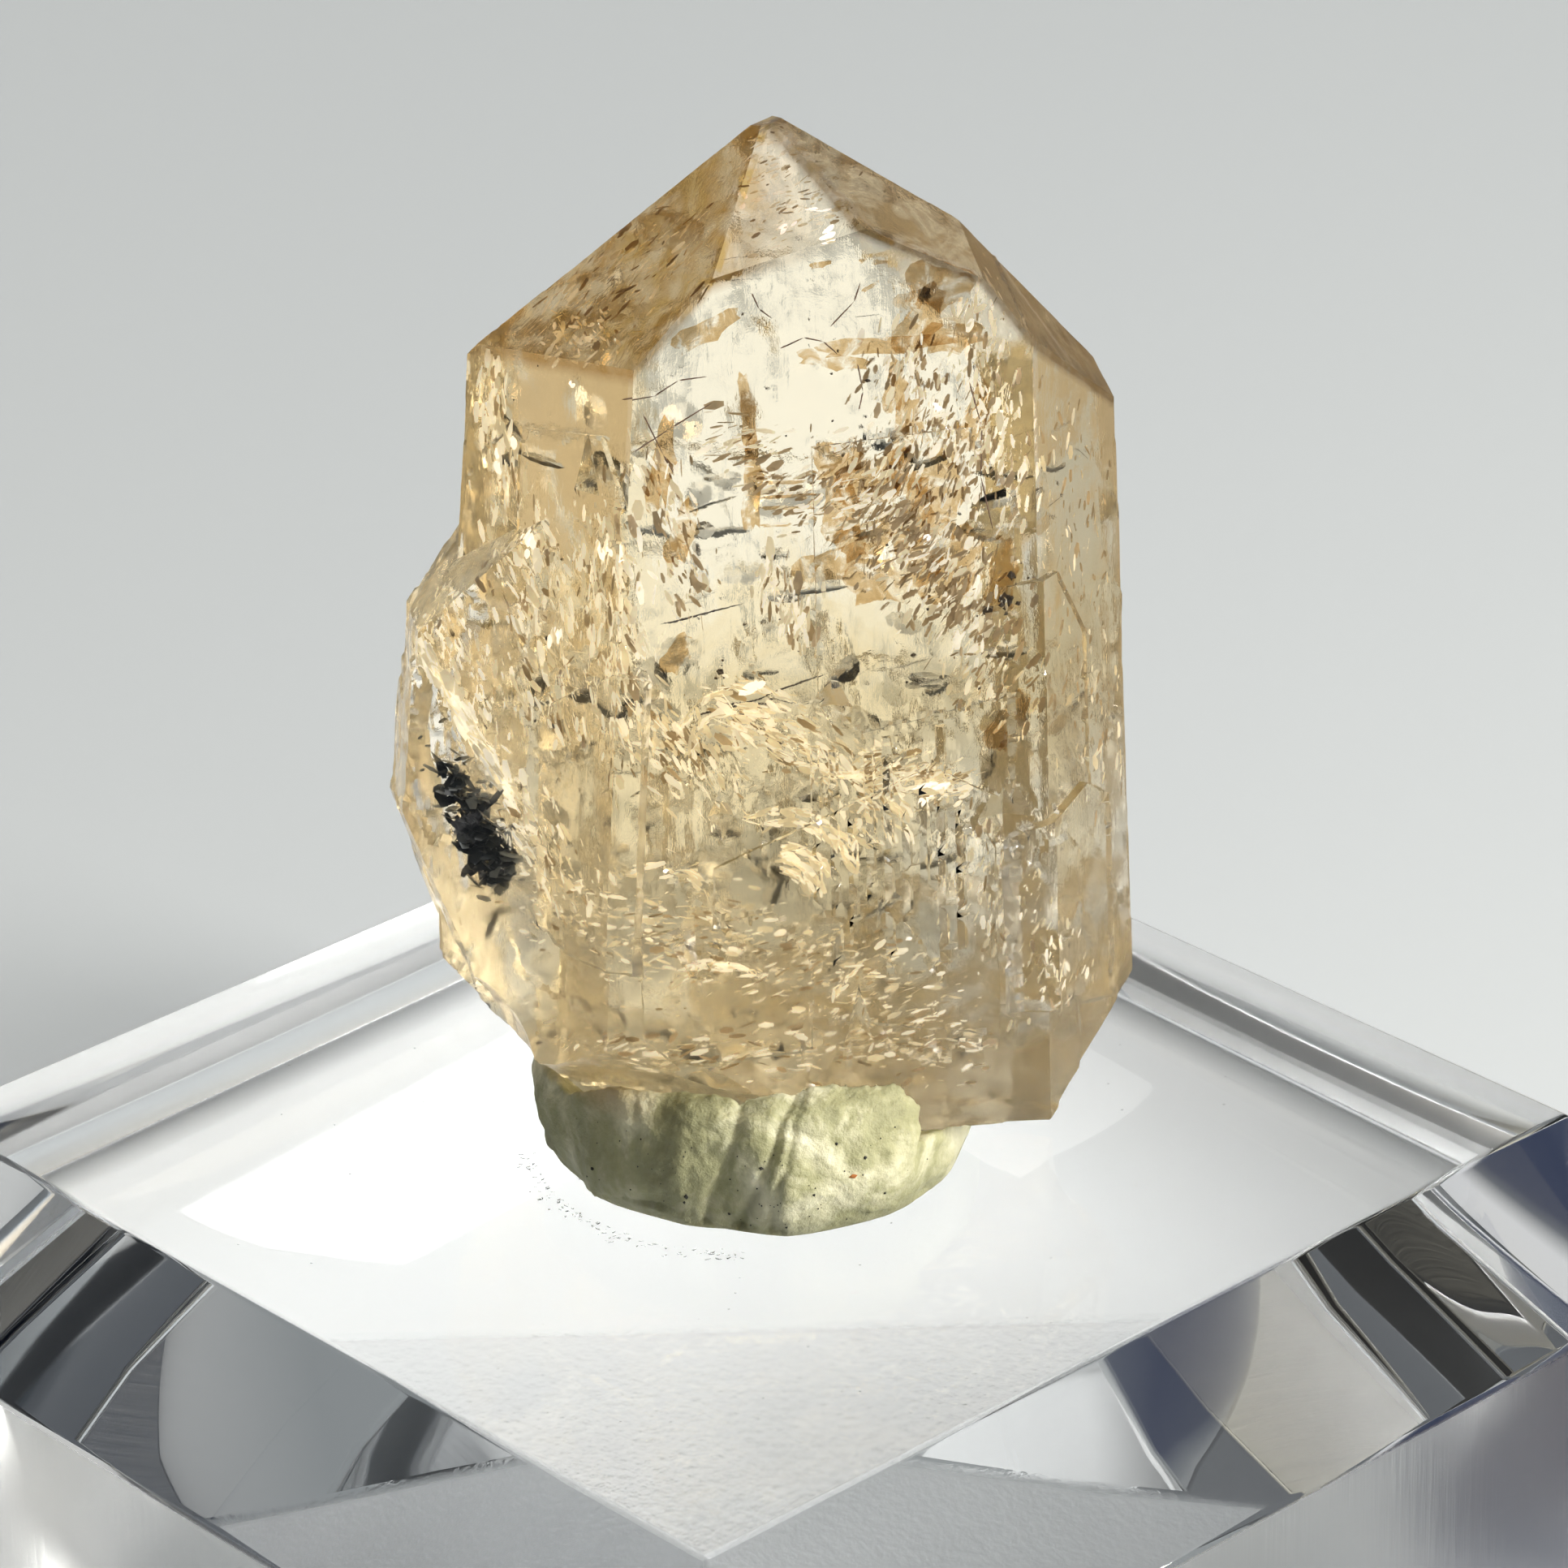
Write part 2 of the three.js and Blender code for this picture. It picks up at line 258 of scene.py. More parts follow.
# The films' tint at places along their ragged noise, from deep to clear
FILM_TINTS = ((0.36, (0.60, 0.44, 0.24)), (0.50, (0.72, 0.56, 0.36)), (0.62, (1, 1, 1)))

# The block: where its satin walls begin under the bevel and end toward the back, and how its top is smeared
SATIN_BEGINS = (0.05, 0.15)
SATIN_ENDS = (0.6, 0.2)
SATIN_ROUGHNESS = 0.34
SAW_STRETCH = (7, 7, 0.35)
TOP_BEGINS = (0.1, 0.02)
TOP_ROUGHNESS = 0.08
SMEAR_SHARE = (0.4, 0.7, 0.3, 1.0)
ACRYLIC_TINT = (0.6, 0.78, 0.95, 1)
ACRYLIC_DENSITY = 3

# The putty: its tint at places along its blotches, the painted amber shade on its rim and the painted shade
# on its low skirt
PUTTY_TINTS = ((0.30, (0.225, 0.22, 0.11)), (0.48, (0.44, 0.43, 0.24)), (0.62, (0.86, 0.83, 0.60)))
PUTTY_RIM_SHADE = (0.36, 0.23, 0.07)
PUTTY_SKIRT_SHADE = (0.22, 0.22, 0.12)
RIM_HEIGHT, RIM_SIDE = (2.3, 3.0), (-1.5, -3.0)
SKIRT_HEIGHT, SKIRT_SHARE = (1.5, 0.2), 0.65
# The ridges that a finger left in the putty's left lobe: where they fade in and how high they are
RIDGES_SIDE = (-0.6, -2.2)
RIDGES_SHARE = 0.22

# How dark the blotches of a plain colour are
BLOTCH_SHARE = 0.7


def set_inputs(node, values):
    for name, value in values.items():
        node.inputs[name].default_value = value


def new_material(name):
    material = bpy.data.materials.new(name)
    material.use_nodes = True
    material.cycles.emission_sampling = "NONE"
    nodes = material.node_tree.nodes
    nodes.clear()
    output = nodes.new("ShaderNodeOutputMaterial")
    shader = nodes.new("ShaderNodeBsdfPrincipled")
    material.node_tree.links.new(shader.outputs["BSDF"], output.inputs["Surface"])
    return material, material.node_tree, shader, output


def object_place(tree, turn=0.0, scale=(1, 1, 1)):
    """Object coordinates in millimetres, turned about the block's axis."""
    place = tree.nodes.new("ShaderNodeTexCoord")
    mapping = tree.nodes.new("ShaderNodeMapping")
    set_inputs(mapping, {"Rotation": (0, 0, turn), "Scale": [s / MM for s in scale]})
    tree.links.new(place.outputs["Object"], mapping.inputs["Vector"])
    return mapping.outputs["Vector"]


def noise_value(tree, place, scale, detail=3.0, roughness=0.55, distortion=0.0):
    node = tree.nodes.new("ShaderNodeTexNoise")
    set_inputs(node, {"Scale": scale, "Detail": detail, "Roughness": roughness, "Distortion": distortion})
    tree.links.new(place, node.inputs["Vector"])
    return node.outputs["Fac"]


def map_range(tree, value, low, high, new_low=0.0, new_high=1.0):
    node = tree.nodes.new("ShaderNodeMapRange")
    for name, number in (("From Min", low), ("From Max", high), ("To Min", new_low), ("To Max", new_high)):
        node.inputs[name].default_value = number
    tree.links.new(value, node.inputs["Value"])
    return node.outputs["Result"]


def combine(tree, operation, first, second):
    node = tree.nodes.new("ShaderNodeMath")
    node.operation = operation
    for socket, value in zip(node.inputs, (first, second)):
        if isinstance(value, (int, float)):
            socket.default_value = value
        else:
            tree.links.new(value, socket)
    return node.outputs["Value"]


def times(tree, first, second):
    return combine(tree, "MULTIPLY", first, second)


def split_axes(tree, place):
    split = tree.nodes.new("ShaderNodeSeparateXYZ")
    tree.links.new(place, split.inputs["Vector"])
    return split


def both_shares(tree, split, **limits):
    """The product of a range along each axis that is named."""
    return times(tree, *[map_range(tree, split.outputs[axis], *ends) for axis, ends in limits.items()])


def colour_ramp(tree, value, stops):
    node = tree.nodes.new("ShaderNodeValToRGB")
    points = node.color_ramp.elements
    while len(points) < len(stops):
        points.new(0.5)
    for point, (position, colour) in zip(points, stops):
        point.position = position
        point.color = (*colour, 1)
    tree.links.new(value, node.inputs["Fac"])
    return node.outputs["Color"]


def blend(tree, share, first, second):
    """The first colour where the share is 0 and the second where it is 1."""
    node = tree.nodes.new("ShaderNodeMix")
    node.data_type = "RGBA"
    tree.links.new(share, node.inputs["Factor"])
    for name, value in (("A", first), ("B", second)):
        socket = next(s for s in node.inputs if s.name == name and s.type == "RGBA")
        if isinstance(value, tuple):
            socket.default_value = (*value, 1)
        else:
            tree.links.new(value, socket)
    return next(s for s in node.outputs if s.type == "RGBA")


def bump(tree, height, strength, distance):
    node = tree.nodes.new("ShaderNodeBump")
    set_inputs(node, {"Strength": strength, "Distance": distance})
    tree.links.new(height, node.inputs["Height"])
    return node.outputs["Normal"]


def clear_material(name, bending):
    material, tree, shader, output = new_material(name)
    set_inputs(shader, {"Base Color": (1, 1, 1, 1), "Transmission Weight": 1.0, "IOR": bending})
    tone = noise_value(tree, object_place(tree), *CLEAR_BLOTCHES)
    tree.links.new(map_range(tree, tone, *CLEAR_ROUGHNESS), shader.inputs["Roughness"])
    return material


def crystal_place(tree):
    """Object coordinates in millimetres in the crystal's own frame."""
    upright = crystal_matrix().inverted()
    place = tree.nodes.new("ShaderNodeTexCoord")
    mapping = tree.nodes.new("ShaderNodeMapping")
    set_inputs(mapping, {"Location": upright.translation, "Rotation": upright.to_euler(),
                         "Scale": [1 / MM] * 3})
    tree.links.new(place.outputs["Object"], mapping.inputs["Vector"])
    return mapping.outputs["Vector"]


def face_share(tree, place, name):
    """1 where the crystal's skin lies on that face, 0 elsewhere."""
    normal = face_normal(name)
    reach = FACES[name][2] + normal.dot(HEART)
    dot = tree.nodes.new("ShaderNodeVectorMath")
    dot.operation = "DOT_PRODUCT"
    dot.inputs[1].default_value = normal
    tree.links.new(place, dot.inputs[0])
    return map_range(tree, dot.outputs["Value"], *[reach - depth for depth in SKIN_DEPTH])


def painted_shade_mask(tree, place, split):
    """1 where golden shade is painted on the crystal's skin, 0 in the clear window, ragged between."""
    left = map_range(tree, split.outputs["X"], *WINDOW_LEFT)
    right = map_range(tree, split.outputs["X"], *WINDOW_RIGHT)
    low = map_range(tree, split.outputs["Z"], *WINDOW_FOOT)
    window = times(tree, times(tree, left, right), low)
    skin = combine(tree, "MAXIMUM", face_share(tree, place, "front"), face_share(tree, place, "roof_front"))
    behind = map_range(tree, split.outputs["Y"], *WINDOW_BACK)
    window = times(tree, window, combine(tree, "MAXIMUM", skin, behind))
    ragged = noise_value(tree, place, *WINDOW_EDGE)
    open_share = combine(tree, "ADD", window, times(tree, ragged, WINDOW_RAGGED))
    bulge = both_shares(tree, split, X=BULGE_SIDE, Z=BULGE_TOP)
    foot = both_shares(tree, split, X=FOOT_SIDE, Z=FOOT_TOP)
    pale = map_range(tree, combine(tree, "MAXIMUM", bulge, foot), 0.0, 1.0, 1.0, PALE_SHARE)
    return times(tree, map_range(tree, open_share, *WINDOW_LIMITS), pale)


def left_roof_shade_mask(tree, place, split):
    """1 where deep tan shade is painted on the roof's left face and the left of its front face."""
    front = times(tree, face_share(tree, place, "roof_front"),
                  map_range(tree, split.outputs["X"], *ROOF_FADE))
    roof = combine(tree, "MAXIMUM", face_share(tree, place, "roof_left"), front)
    tone = map_range(tree, noise_value(tree, place, *ROOF_BLOTCHES), *ROOF_TONE)
    return times(tree, roof, tone)


def right_roof_shade_mask(tree, place, split):
    """1 where brown shade is painted on the roof's right faces, less on the right flank below them."""
    roof = combine(tree, "MAXIMUM", face_share(tree, place, "roof_right"),
                   face_share(tree, place, "roof_shoulder"))
    flank = both_shares(tree, split, X=FLANK_FADE, Z=FLANK_FOOT)
    tone = map_range(tree, noise_value(tree, place, *FLANK_BLOTCHES), *FLANK_TONE)
    return times(tree, combine(tree, "MAXIMUM", roof, flank), tone)


def film_material():
    """A tan tint that comes and goes in ragged patches and bends nothing."""
    material, tree, shader, output = new_material("tan_film")
    ragged = noise_value(tree, object_place(tree), *FILM_RAGS)
    tree.links.new(colour_ramp(tree, ragged, FILM_TINTS), shader.inputs["Base Color"])
    set_inputs(shader, {"Transmission Weight": 1.0, "IOR": 1.0, "Roughness": 0.05})
    return material


def absorb_light(tree, output, tint, density):
    """Tints the light inside a clear piece the more, the longer its way."""
    absorb = tree.nodes.new("ShaderNodeVolumeAbsorption")
    set_inputs(absorb, {"Color": tint, "Density": density})
    tree.links.new(absorb.outputs["Volume"], output.inputs["Volume"])


def topaz_material():
    material, tree, shader, output = new_material("champagne_topaz")
    set_inputs(shader, {"Transmission Weight": 1.0, "IOR": TOPAZ_BENDING})
    place = crystal_place(tree)
    split = split_axes(tree, place)
    # The skin's colour is painted shade: golden outside the clear window, deep tan on the left roof and brown
    # on the right, for the tint that light gets on long ways inside the crystal
    skin = blend(tree, painted_shade_mask(tree, place, split), CLEAR_SKIN, GOLDEN_SHADE_PAINT)
    skin = blend(tree, left_roof_shade_mask(tree, place, split), skin, ROOF_TAN_SHADE)
    skin = blend(tree, right_roof_shade_mask(tree, place, split), skin, ROOF_BROWN_SHADE)
    tree.links.new(skin, shader.inputs["Base Color"])
    streaks = tree.nodes.new("ShaderNodeMapping")
    streaks.inputs["Scale"].default_value = STREAK_STRETCH
    tree.links.new(place, streaks.inputs["Vector"])
    fine = times(tree, noise_value(tree, streaks.outputs["Vector"], *STREAKS), STREAK_SHARE)
    height = combine(tree, "ADD", noise_value(tree, place, *ETCHING), fine)
    tree.links.new(bump(tree, height, *ETCHED_BUMP), shader.inputs["Normal"])
    patches = map_range(tree, noise_value(tree, place, *SKIN_PATCHES), *PATCH_ROUGHNESS)
    frosted = both_shares(tree, split, Y=BACK_BEGINS, Z=BACK_FROST)
    hazy = map_range(tree, split.outputs["Z"], *FOOT_HAZE)
    worn = combine(tree, "ADD", patches, combine(tree, "MAXIMUM", frosted, hazy))
    tree.links.new(worn, shader.inputs["Roughness"])
    absorb_light(tree, output, TOPAZ_TINT, TOPAZ_DENSITY)
    return material


def acrylic_material():
    """Clear and polished, with a smeared top and satin walls toward the camera."""
    material, tree, shader, output = new_material("clear_acrylic")
    set_inputs(shader, {"Base Color": (1, 1, 1, 1), "Transmission Weight": 1.0, "IOR": ACRYLIC_BENDING})
    place = object_place(tree, -SPECIMEN_TURN)
    split = split_axes(tree, place)
    wall_top = BLOCK_TOP - BLOCK_BEVEL
    sawn = map_range(tree, split.outputs["Z"], *[wall_top - below for below in SATIN_BEGINS])
    sawn = times(tree, sawn, map_range(tree, split.outputs["Y"], *SATIN_ENDS))
    marks = noise_value(tree, object_place(tree, 0, SAW_STRETCH), *SAW_MARKS)
    tree.links.new(bump(tree, times(tree, marks, sawn), *SAWN_BUMP), shader.inputs["Normal"])
    top_limits = [BLOCK_TOP - below for below in TOP_BEGINS]
    top = map_range(tree, split.outputs["Z"], *top_limits, 0.0, TOP_ROUGHNESS)
    smears = map_range(tree, noise_value(tree, place, *FINGER_SMEARS), *SMEAR_SHARE)
    smeared = times(tree, top, smears)
    satin = times(tree, sawn, SATIN_ROUGHNESS)
    tree.links.new(combine(tree, "ADD", smeared, satin), shader.inputs["Roughness"])
    absorb_light(tree, output, ACRYLIC_TINT, ACRYLIC_DENSITY)
    return material


def putty_material():
    """Blotchy and grainy, with finger ridges at the left, painted amber shade on its rim and painted shade
    darkening its low skirt.
    """
    material, tree, shader, output = new_material("grey_green_putty")
    place = object_place(tree, -SPECIMEN_TURN)
    colour = colour_ramp(tree, noise_value(tree, place, *PUTTY_BLOTCHES), PUTTY_TINTS)
    set_inputs(shader, {"Roughness": 0.62, "Subsurface Weight": 0.25, "Subsurface Radius": (1.0, 0.9, 0.6),
                        "Subsurface Scale": 0.0006})
    lumps = noise_value(tree, place, *PUTTY_LUMPS)
    grain = combine(tree, "ADD", noise_value(tree, place, *PUTTY_GRAIN), lumps)
    split = split_axes(tree, place)
    wave = tree.nodes.new("ShaderNodeTexWave")
    set_inputs(wave, {"Scale": 1.1, "Distortion": 2.2, "Detail Scale": 0.4})
    tree.links.new(place, wave.inputs["Vector"])
    lobe = times(tree, map_range(tree, split.outputs["X"], *RIDGES_SIDE), RIDGES_SHARE)
    ridges = times(tree, wave.outputs["Fac"], lobe)
    tree.links.new(bump(tree, combine(tree, "ADD", grain, ridges), *PUTTY_BUMP), shader.inputs["Normal"])
    # Painted shade: amber on the rim's top left, and darker toward the bottom of the skirt
    rim_limits = [BLOCK_TOP + above for above in RIM_HEIGHT]
    rim = both_shares(tree, split, Z=rim_limits, X=RIM_SIDE)
    skirt_limits = [BLOCK_TOP + above for above in SKIRT_HEIGHT]
    skirt_shade = map_range(tree, split.outputs["Z"], *skirt_limits, 0.0, SKIRT_SHARE)
    colour = blend(tree, skirt_shade, colour, PUTTY_SKIRT_SHADE)
    tree.links.new(blend(tree, rim, colour, PUTTY_RIM_SHADE), shader.inputs["Base Color"])
    return material


def uneven_tone():
    """The node group that darkens a colour in soft blotches, built once."""
    group = bpy.data.node_groups.get("uneven_tone")
    if group:
        return group
    group = bpy.data.node_groups.new("uneven_tone", "ShaderNodeTree")
    group.interface.new_socket("Place", in_out="INPUT", socket_type="NodeSocketVector")
    group.interface.new_socket("Colour", in_out="INPUT", socket_type="NodeSocketColor")
    group.interface.new_socket("Darker", in_out="INPUT", socket_type="NodeSocketColor")
    group.interface.new_socket("Colour", in_out="OUTPUT", socket_type="NodeSocketColor")
    given = group.nodes.new("NodeGroupInput")
    result = group.nodes.new("NodeGroupOutput")
    tone = map_range(group, noise_value(group, given.outputs["Place"], *SOFT_BLOTCHES), 0.35, 0.65)
    mixed = blend(group, tone, given.outputs["Darker"], given.outputs["Colour"])
    group.links.new(mixed, result.inputs["Colour"])
    return group


def plain_material(name, colour, roughness, glow=0.0):
    """One uneven colour, which may glow a little for the light that flakes catch."""
    material, tree, shader, output = new_material(name)
    uneven = tree.nodes.new("ShaderNodeGroup")
    uneven.node_tree = uneven_tone()
    tree.links.new(object_place(tree), uneven.inputs["Place"])
    set_inputs(uneven, {"Colour": (*colour, 1), "Darker": (*[BLOTCH_SHARE * c for c in colour], 1)})
    tree.links.new(uneven.outputs["Colour"], shader.inputs["Base Color"])
    set_inputs(shader, {"Roughness": roughness, "Emission Color": (*colour, 1), "Emission Strength": glow})
    return material


# Crystal

# Growth patches on the crystal's skin: the size of a patch, the share of patches that tilt, and a seed
COARSE_PATCHES = (Vector((2.4, 2.4, 3.6)), 0.62, 1.3)
MEDIUM_PATCHES = (Vector((0.9, 0.9, 2.0)), 0.70, 5.1)
SMALL_PATCHES = (Vector((0.34, 0.34, 0.80)), 0.80, 9.7)
# How steeply they tilt everywhere, and how much more behind, low down and at the left
TILT = 0.010
COARSE_BACK = 0.12
MEDIUM_BACK, MEDIUM_LOW, MEDIUM_LEFT = 0.13, 0.03, 0.04
SMALL_BACK, SMALL_LOW, SMALL_LEFT = 0.07, 0.03, 0.03
# How much of the tilt goes where the view through the window stays clear, and low down at the right
CLEARED, CALMED = 0.85, 0.7
# How far the skin may move, and how much further behind
MOST_MOVE, MOST_MOVE_BACK = 0.05, 0.17
# How the border of the rough lower part wanders, height and scale, and between which heights it lies
WANDER = ((2.4, 0.33), (1.2, 0.9))
ROUGH_BELOW, CLEAN_ABOVE = 6.0, 15.0


def patch_height(spot, patches, tilt):
    """Height of a mosaic of tilted growth patches at a spot."""
    cell, share, seed = patches
    scaled = Vector((spot.x / cell.x, spot.y / cell.y, spot.z / cell.z)) + Vector((seed, 3 * seed, 7 * seed))
    centre = noise.voronoi(scaled)[1][0]
    lean = noise.cell_vector(centre * 57.0)
    if abs(lean.x + lean.y) * 0.5 > share:
        return 0.0
    away = scaled - centre
    slope = Vector((lean.y, lean.z, lean.x))
    return tilt * (slope.x * away.x * cell.x + slope.y * away.y * cell.y + slope.z * away.z * cell.z)


def lower_share(own):
    """How rough the crystal is at a place in its own frame: clean near the tip, etched and broken below."""
    wander = sum(height * noise.noise(own * scale) for height, scale in WANDER)
    return 1.0 - ramp(own.z + wander, ROUGH_BELOW, CLEAN_ABOVE)


def carve_patches(crystal):
    """Pushes the crystal's skin into tilted patches and streaks, coarse at its back and fine in front."""
    upright = crystal_matrix().inverted()
    turn = upright.to_3x3()
    moves = []
    for vertex in crystal.data.vertices:
        own = upright @ vertex.co
        out = turn @ vertex.normal
        low = lower_share(own)
        back = ramp(out.y, 0.45, 0.85)
        left = ramp(-out.x, 0.55, 0.95) * ramp(13.0 - own.z, 0.0, 2.0)
        clear = ramp(own.x, -3.0, -1.8) * ramp(6.0 - own.x, 0.0, 1.0) * ramp(own.z, 8.5, 11.0)
        back *= 1 - CLEARED * clear
        calm = 1 - CALMED * ramp(own.x, 3.0, 5.0)
        medium = TILT + MEDIUM_BACK * back + MEDIUM_LOW * low + MEDIUM_LEFT * left
        small = TILT + SMALL_BACK * back + SMALL_LOW * low * calm + SMALL_LEFT * left
        height = patch_height(own, COARSE_PATCHES, TILT + COARSE_BACK * back)
        height += patch_height(own, MEDIUM_PATCHES, medium)
        height += patch_height(own, SMALL_PATCHES, small)
        most = MOST_MOVE + MOST_MOVE_BACK * back
        moves.append(vertex.normal * max(-most, min(most, height)))
    for vertex, move in zip(crystal.data.vertices, moves):
        vertex.co += move


def build_crystal():
    crystal = copied_node("topaz_crystal", "topaz_body")
    apply_modifier(crystal, "REMESH", "even_mesh", mode="SHARP", octree_depth=8, scale=0.60, sharpness=1.0,
                   use_remove_disconnected=False)
    carve_patches(crystal)
    smooth_by_angle(crystal, degrees=16)
    return finish_piece(crystal, topaz_material(), "topaz", "topaz_crystal")


# What is sealed in the crystal

# The wisps' colour, roughness and glow, which paints glints on the cream and gold ones
WISP_FINISHES = {
    "cream_wisps": ((1.0, 0.93, 0.76), 0.35, 0.55), "gold_wisps": ((1.0, 0.89, 0.64), 0.30, 0.30),
    "tan_wisps": ((0.76, 0.59, 0.37), 0.4, 0.0),
}
# The colours of what else is sealed in
NEEDLE_BLACK = (0.09, 0.075, 0.075)
SPECK_BROWN = (0.09, 0.065, 0.045)
LINE_BROWN = (0.34, 0.22, 0.17)
GLINT_WHITE = (1.0, 0.93, 0.86)
FILM_BLACK = (0.12, 0.13, 0.135)
FILM_GREY = (0.46, 0.49, 0.50)
# How much larger a film is than the table says, lengthwise and in height, and its thickness
FILM_SIZE = (1.35, 1.5, 0.5)
# Half the thickness of a brown line and its depth
LINE_THICK, LINE_DEPTH = 0.018, 0.25
# How far what is sealed in stays from the crystal's skin
SKIN_GAP = 0.05
# The room inside the crystal: its ridge and how that falls sideways and forward, its half depth and how that
# tapers past the middle, the margin at its skin, and its foot
RIDGE, FALL_ASIDE, FALL_FORWARD = 20.6, 0.80, 0.5
HALF_DEPTH, TAPER, HALF_MIDDLE, MARGIN, ROOM_FOOT = 4.4, 0.35, 3.0, 0.9, 1.4


def facing_front(degrees):
    """Turns a flat piece to face the crystal's front, then round by so many degrees."""
    upright = leaning_matrix().to_3x3().to_4x4() @ Matrix.Rotation(math.pi / 2, 4, "X")
    return upright @ Matrix.Rotation(math.radians(degrees), 4, "Z")


def sealed(crystal, placing, clearance=0.6):
    """Whether what is placed there lies wholly inside the crystal."""
    spot = specimen_matrix() @ placing.translation * MM
    near, out = crystal.closest_point_on_mesh(spot)[1:3]
    away = spot - near
    return away.dot(out) < 0 and away.length > (SKIN_GAP + clearance * max(placing.to_scale())) * MM


def joined(name, template, placings, material, slot):
    """One mesh of many small copies of a template, one for each placing matrix, in the specimen's frame."""
    points = [Vector(point) for point in template[0]]
    all_points = []
    all_faces = []
    base = specimen_matrix()
    for placing in placings:
        first = len(all_points)
        whole = base @ placing
        all_points.extend(whole @ point for point in points)
        all_faces.extend([first + corner for corner in face] for face in template[1])
    mesh = bpy.data.meshes.new(name)
    mesh.from_pydata(all_points, [], all_faces)
    mesh.validate()
    piece = bpy.data.objects.new(name, mesh)
    bpy.context.collection.objects.link(piece)
    return finish_piece(piece, material, slot)


def flake_template(sides=6, thick=0.08, ragged=0.0):
    """A thin lens: a rim of points, even or ragged, and one raised point on each face."""
    rim = []
    for i in range(sides):
        turn = 2 * math.pi * i / sides
        radius = 1 - ragged * (0.5 + 0.5 * math.sin(3.7 * i + 1.1 * i * i))
        rim.append((radius * math.cos(turn), radius * math.sin(turn), 0))
    points = rim + [(0, 0, thick), (0, 0, -thick)]
    faces = []
    for i in range(sides):
        after = (i + 1) % sides
        faces.append((i, after, sides))
        faces.append((after, i, sides + 1))
    return points, faces


def lump_template():
    """A lump: an uneven double pyramid on five corners."""
    points = [(1, 0, 0), (0.2, 0.9, 0.1), (-0.9, 0.4, -0.1), (-0.5, -0.8, 0.1), (0.6, -0.7, 0)]
    points += [(0, 0, 0.9), (0.1, 0, -0.9)]
    faces = []
    for i in range(5):
        after = (i + 1) % 5
        faces.append((i, after, 5))
        faces.append((after, i, 6))
    return points, faces


def rod_template(sides=5):
    """A rod of unit length along z with pointed ends."""
    points = []
    for height, radius in ((-0.36, 1.0), (0.1, 0.85), (0.38, 0.6)):
        for i in range(sides):
            turn = 2 * math.pi * i / sides
            points.append((radius * math.cos(turn), radius * math.sin(turn), height))
    points += [(0, 0, 0.5), (0, 0, -0.5)]
    top = 3 * sides
    faces = []
    for i in range(sides):
        after = (i + 1) % sides
        for level in (0, 1):
            low = level * sides
            faces.append((low + i, low + after, low + sides + after, low + sides + i))
        faces.append((2 * sides + i, 2 * sides + after, top))
        faces.append((after, i, top + 1))
    return points, faces


def between(start, end, thick):
    """A placing that lays a rod from one place to another."""
    start, end = Vector(start), Vector(end)
    along = end - start
    turn = along.to_track_quat("Z", "Y").to_matrix().to_4x4()
    size = Matrix.Diagonal((thick, thick, along.length, 1))
    return Matrix.Translation((start + end) / 2) @ turn @ size


def inside(chance, low=(-5.6, -3.4, 2.4), high=(7.0, 3.6, 21.0)):
    """A chance place inside the crystal, in the specimen's frame."""
    while True:
        spot = Vector([chance.uniform(a, b) for a, b in zip(low, high)])
        own = leaning_matrix().inverted() @ spot
        roof = RIDGE - FALL_ASIDE * abs(own.x - 0.2) - FALL_FORWARD * abs(own.y + 1.0)
        deep = HALF_DEPTH - TAPER * max(0.0, abs(own.x) - HALF_MIDDLE) - MARGIN
        if ROOM_FOOT < own.z < roof and abs(own.y) < deep:
            return spot


def turned(chance, spot, size, tilt=math.pi):
    turn = Matrix.Rotation(chance.uniform(-math.pi, math.pi), 4, "Z")
    lean = Matrix.Rotation(chance.uniform(-tilt, tilt), 4, "X")
    return Matrix.Translation(spot) @ turn @ lean @ Matrix.Diagonal((*size, 1))


# Needles that the photograph shows one by one: from, to and half thickness, in the specimen's frame
NEEDLES = (
    ((-1.5, -1.5, 12.7), (0.3, -1.4, 13.1), 0.024), ((0.2, -1.4, 13.1), (2.1, -1.5, 13.4), 0.02),
    ((-0.9, -1.8, 10.7), (0.8, -1.7, 11.1), 0.026), ((0.7, -1.7, 11.1), (2.0, -1.8, 11.6), 0.025),
    ((-0.5, -1.2, 10.8), (1.7, -1.2, 10.7), 0.02), ((2.9, -2.5, 18.6), (3.0, -2.5, 17.8), 0.06),
    ((1.3, -2.2, 18.3), (1.4, -2.2, 17.7), 0.05), ((-0.2, -2.5, 15.3), (-0.4, -2.5, 14.8), 0.06),
    ((3.35, -3.3, 10.2), (3.3, -3.3, 7.6), 0.02), ((3.5, -3.3, 10.0), (3.48, -3.3, 7.8), 0.015),
    ((2.0, -2.2, 17.2), (3.4, -1.6, 15.4), 0.02), ((-1.8, -2.4, 16.6), (-0.3, -2.0, 17.9), 0.02),
)


def build_needles(crystal):
    """Dark needles: those that the photograph shows, finer ones at random, and a brush in the bulge."""
    chance = random.Random(11)
    placings = [between(*needle) for needle in NEEDLES]
    for _ in range(36):
        spot = inside(chance)
        length = chance.uniform(0.3, 1.3)
        way = Vector((chance.uniform(0.6, 1), chance.uniform(-0.5, 0.5), chance.uniform(-0.1, 0.5)))
        way = way.normalized() * length
        placings.append(between(spot, spot + way, chance.uniform(0.004, 0.009)))
    for _ in range(26):
        spot = Vector((chance.uniform(-5.2, -3.4), -2.3, chance.uniform(8.4, 11.8)))
        way = Vector((chance.uniform(-0.3, 0.4), 0.1, chance.uniform(-0.9, -0.3)))
        placings.append(between(spot, spot + way * chance.uniform(0.4, 1.1), chance.uniform(0.006, 0.016)))
    material = plain_material("dark_needles", NEEDLE_BLACK, roughness=0.4)
    placings = [placing for placing in placings if sealed(crystal, placing)]
    joined("dark_needles", rod_template(), placings, material, "topaz")


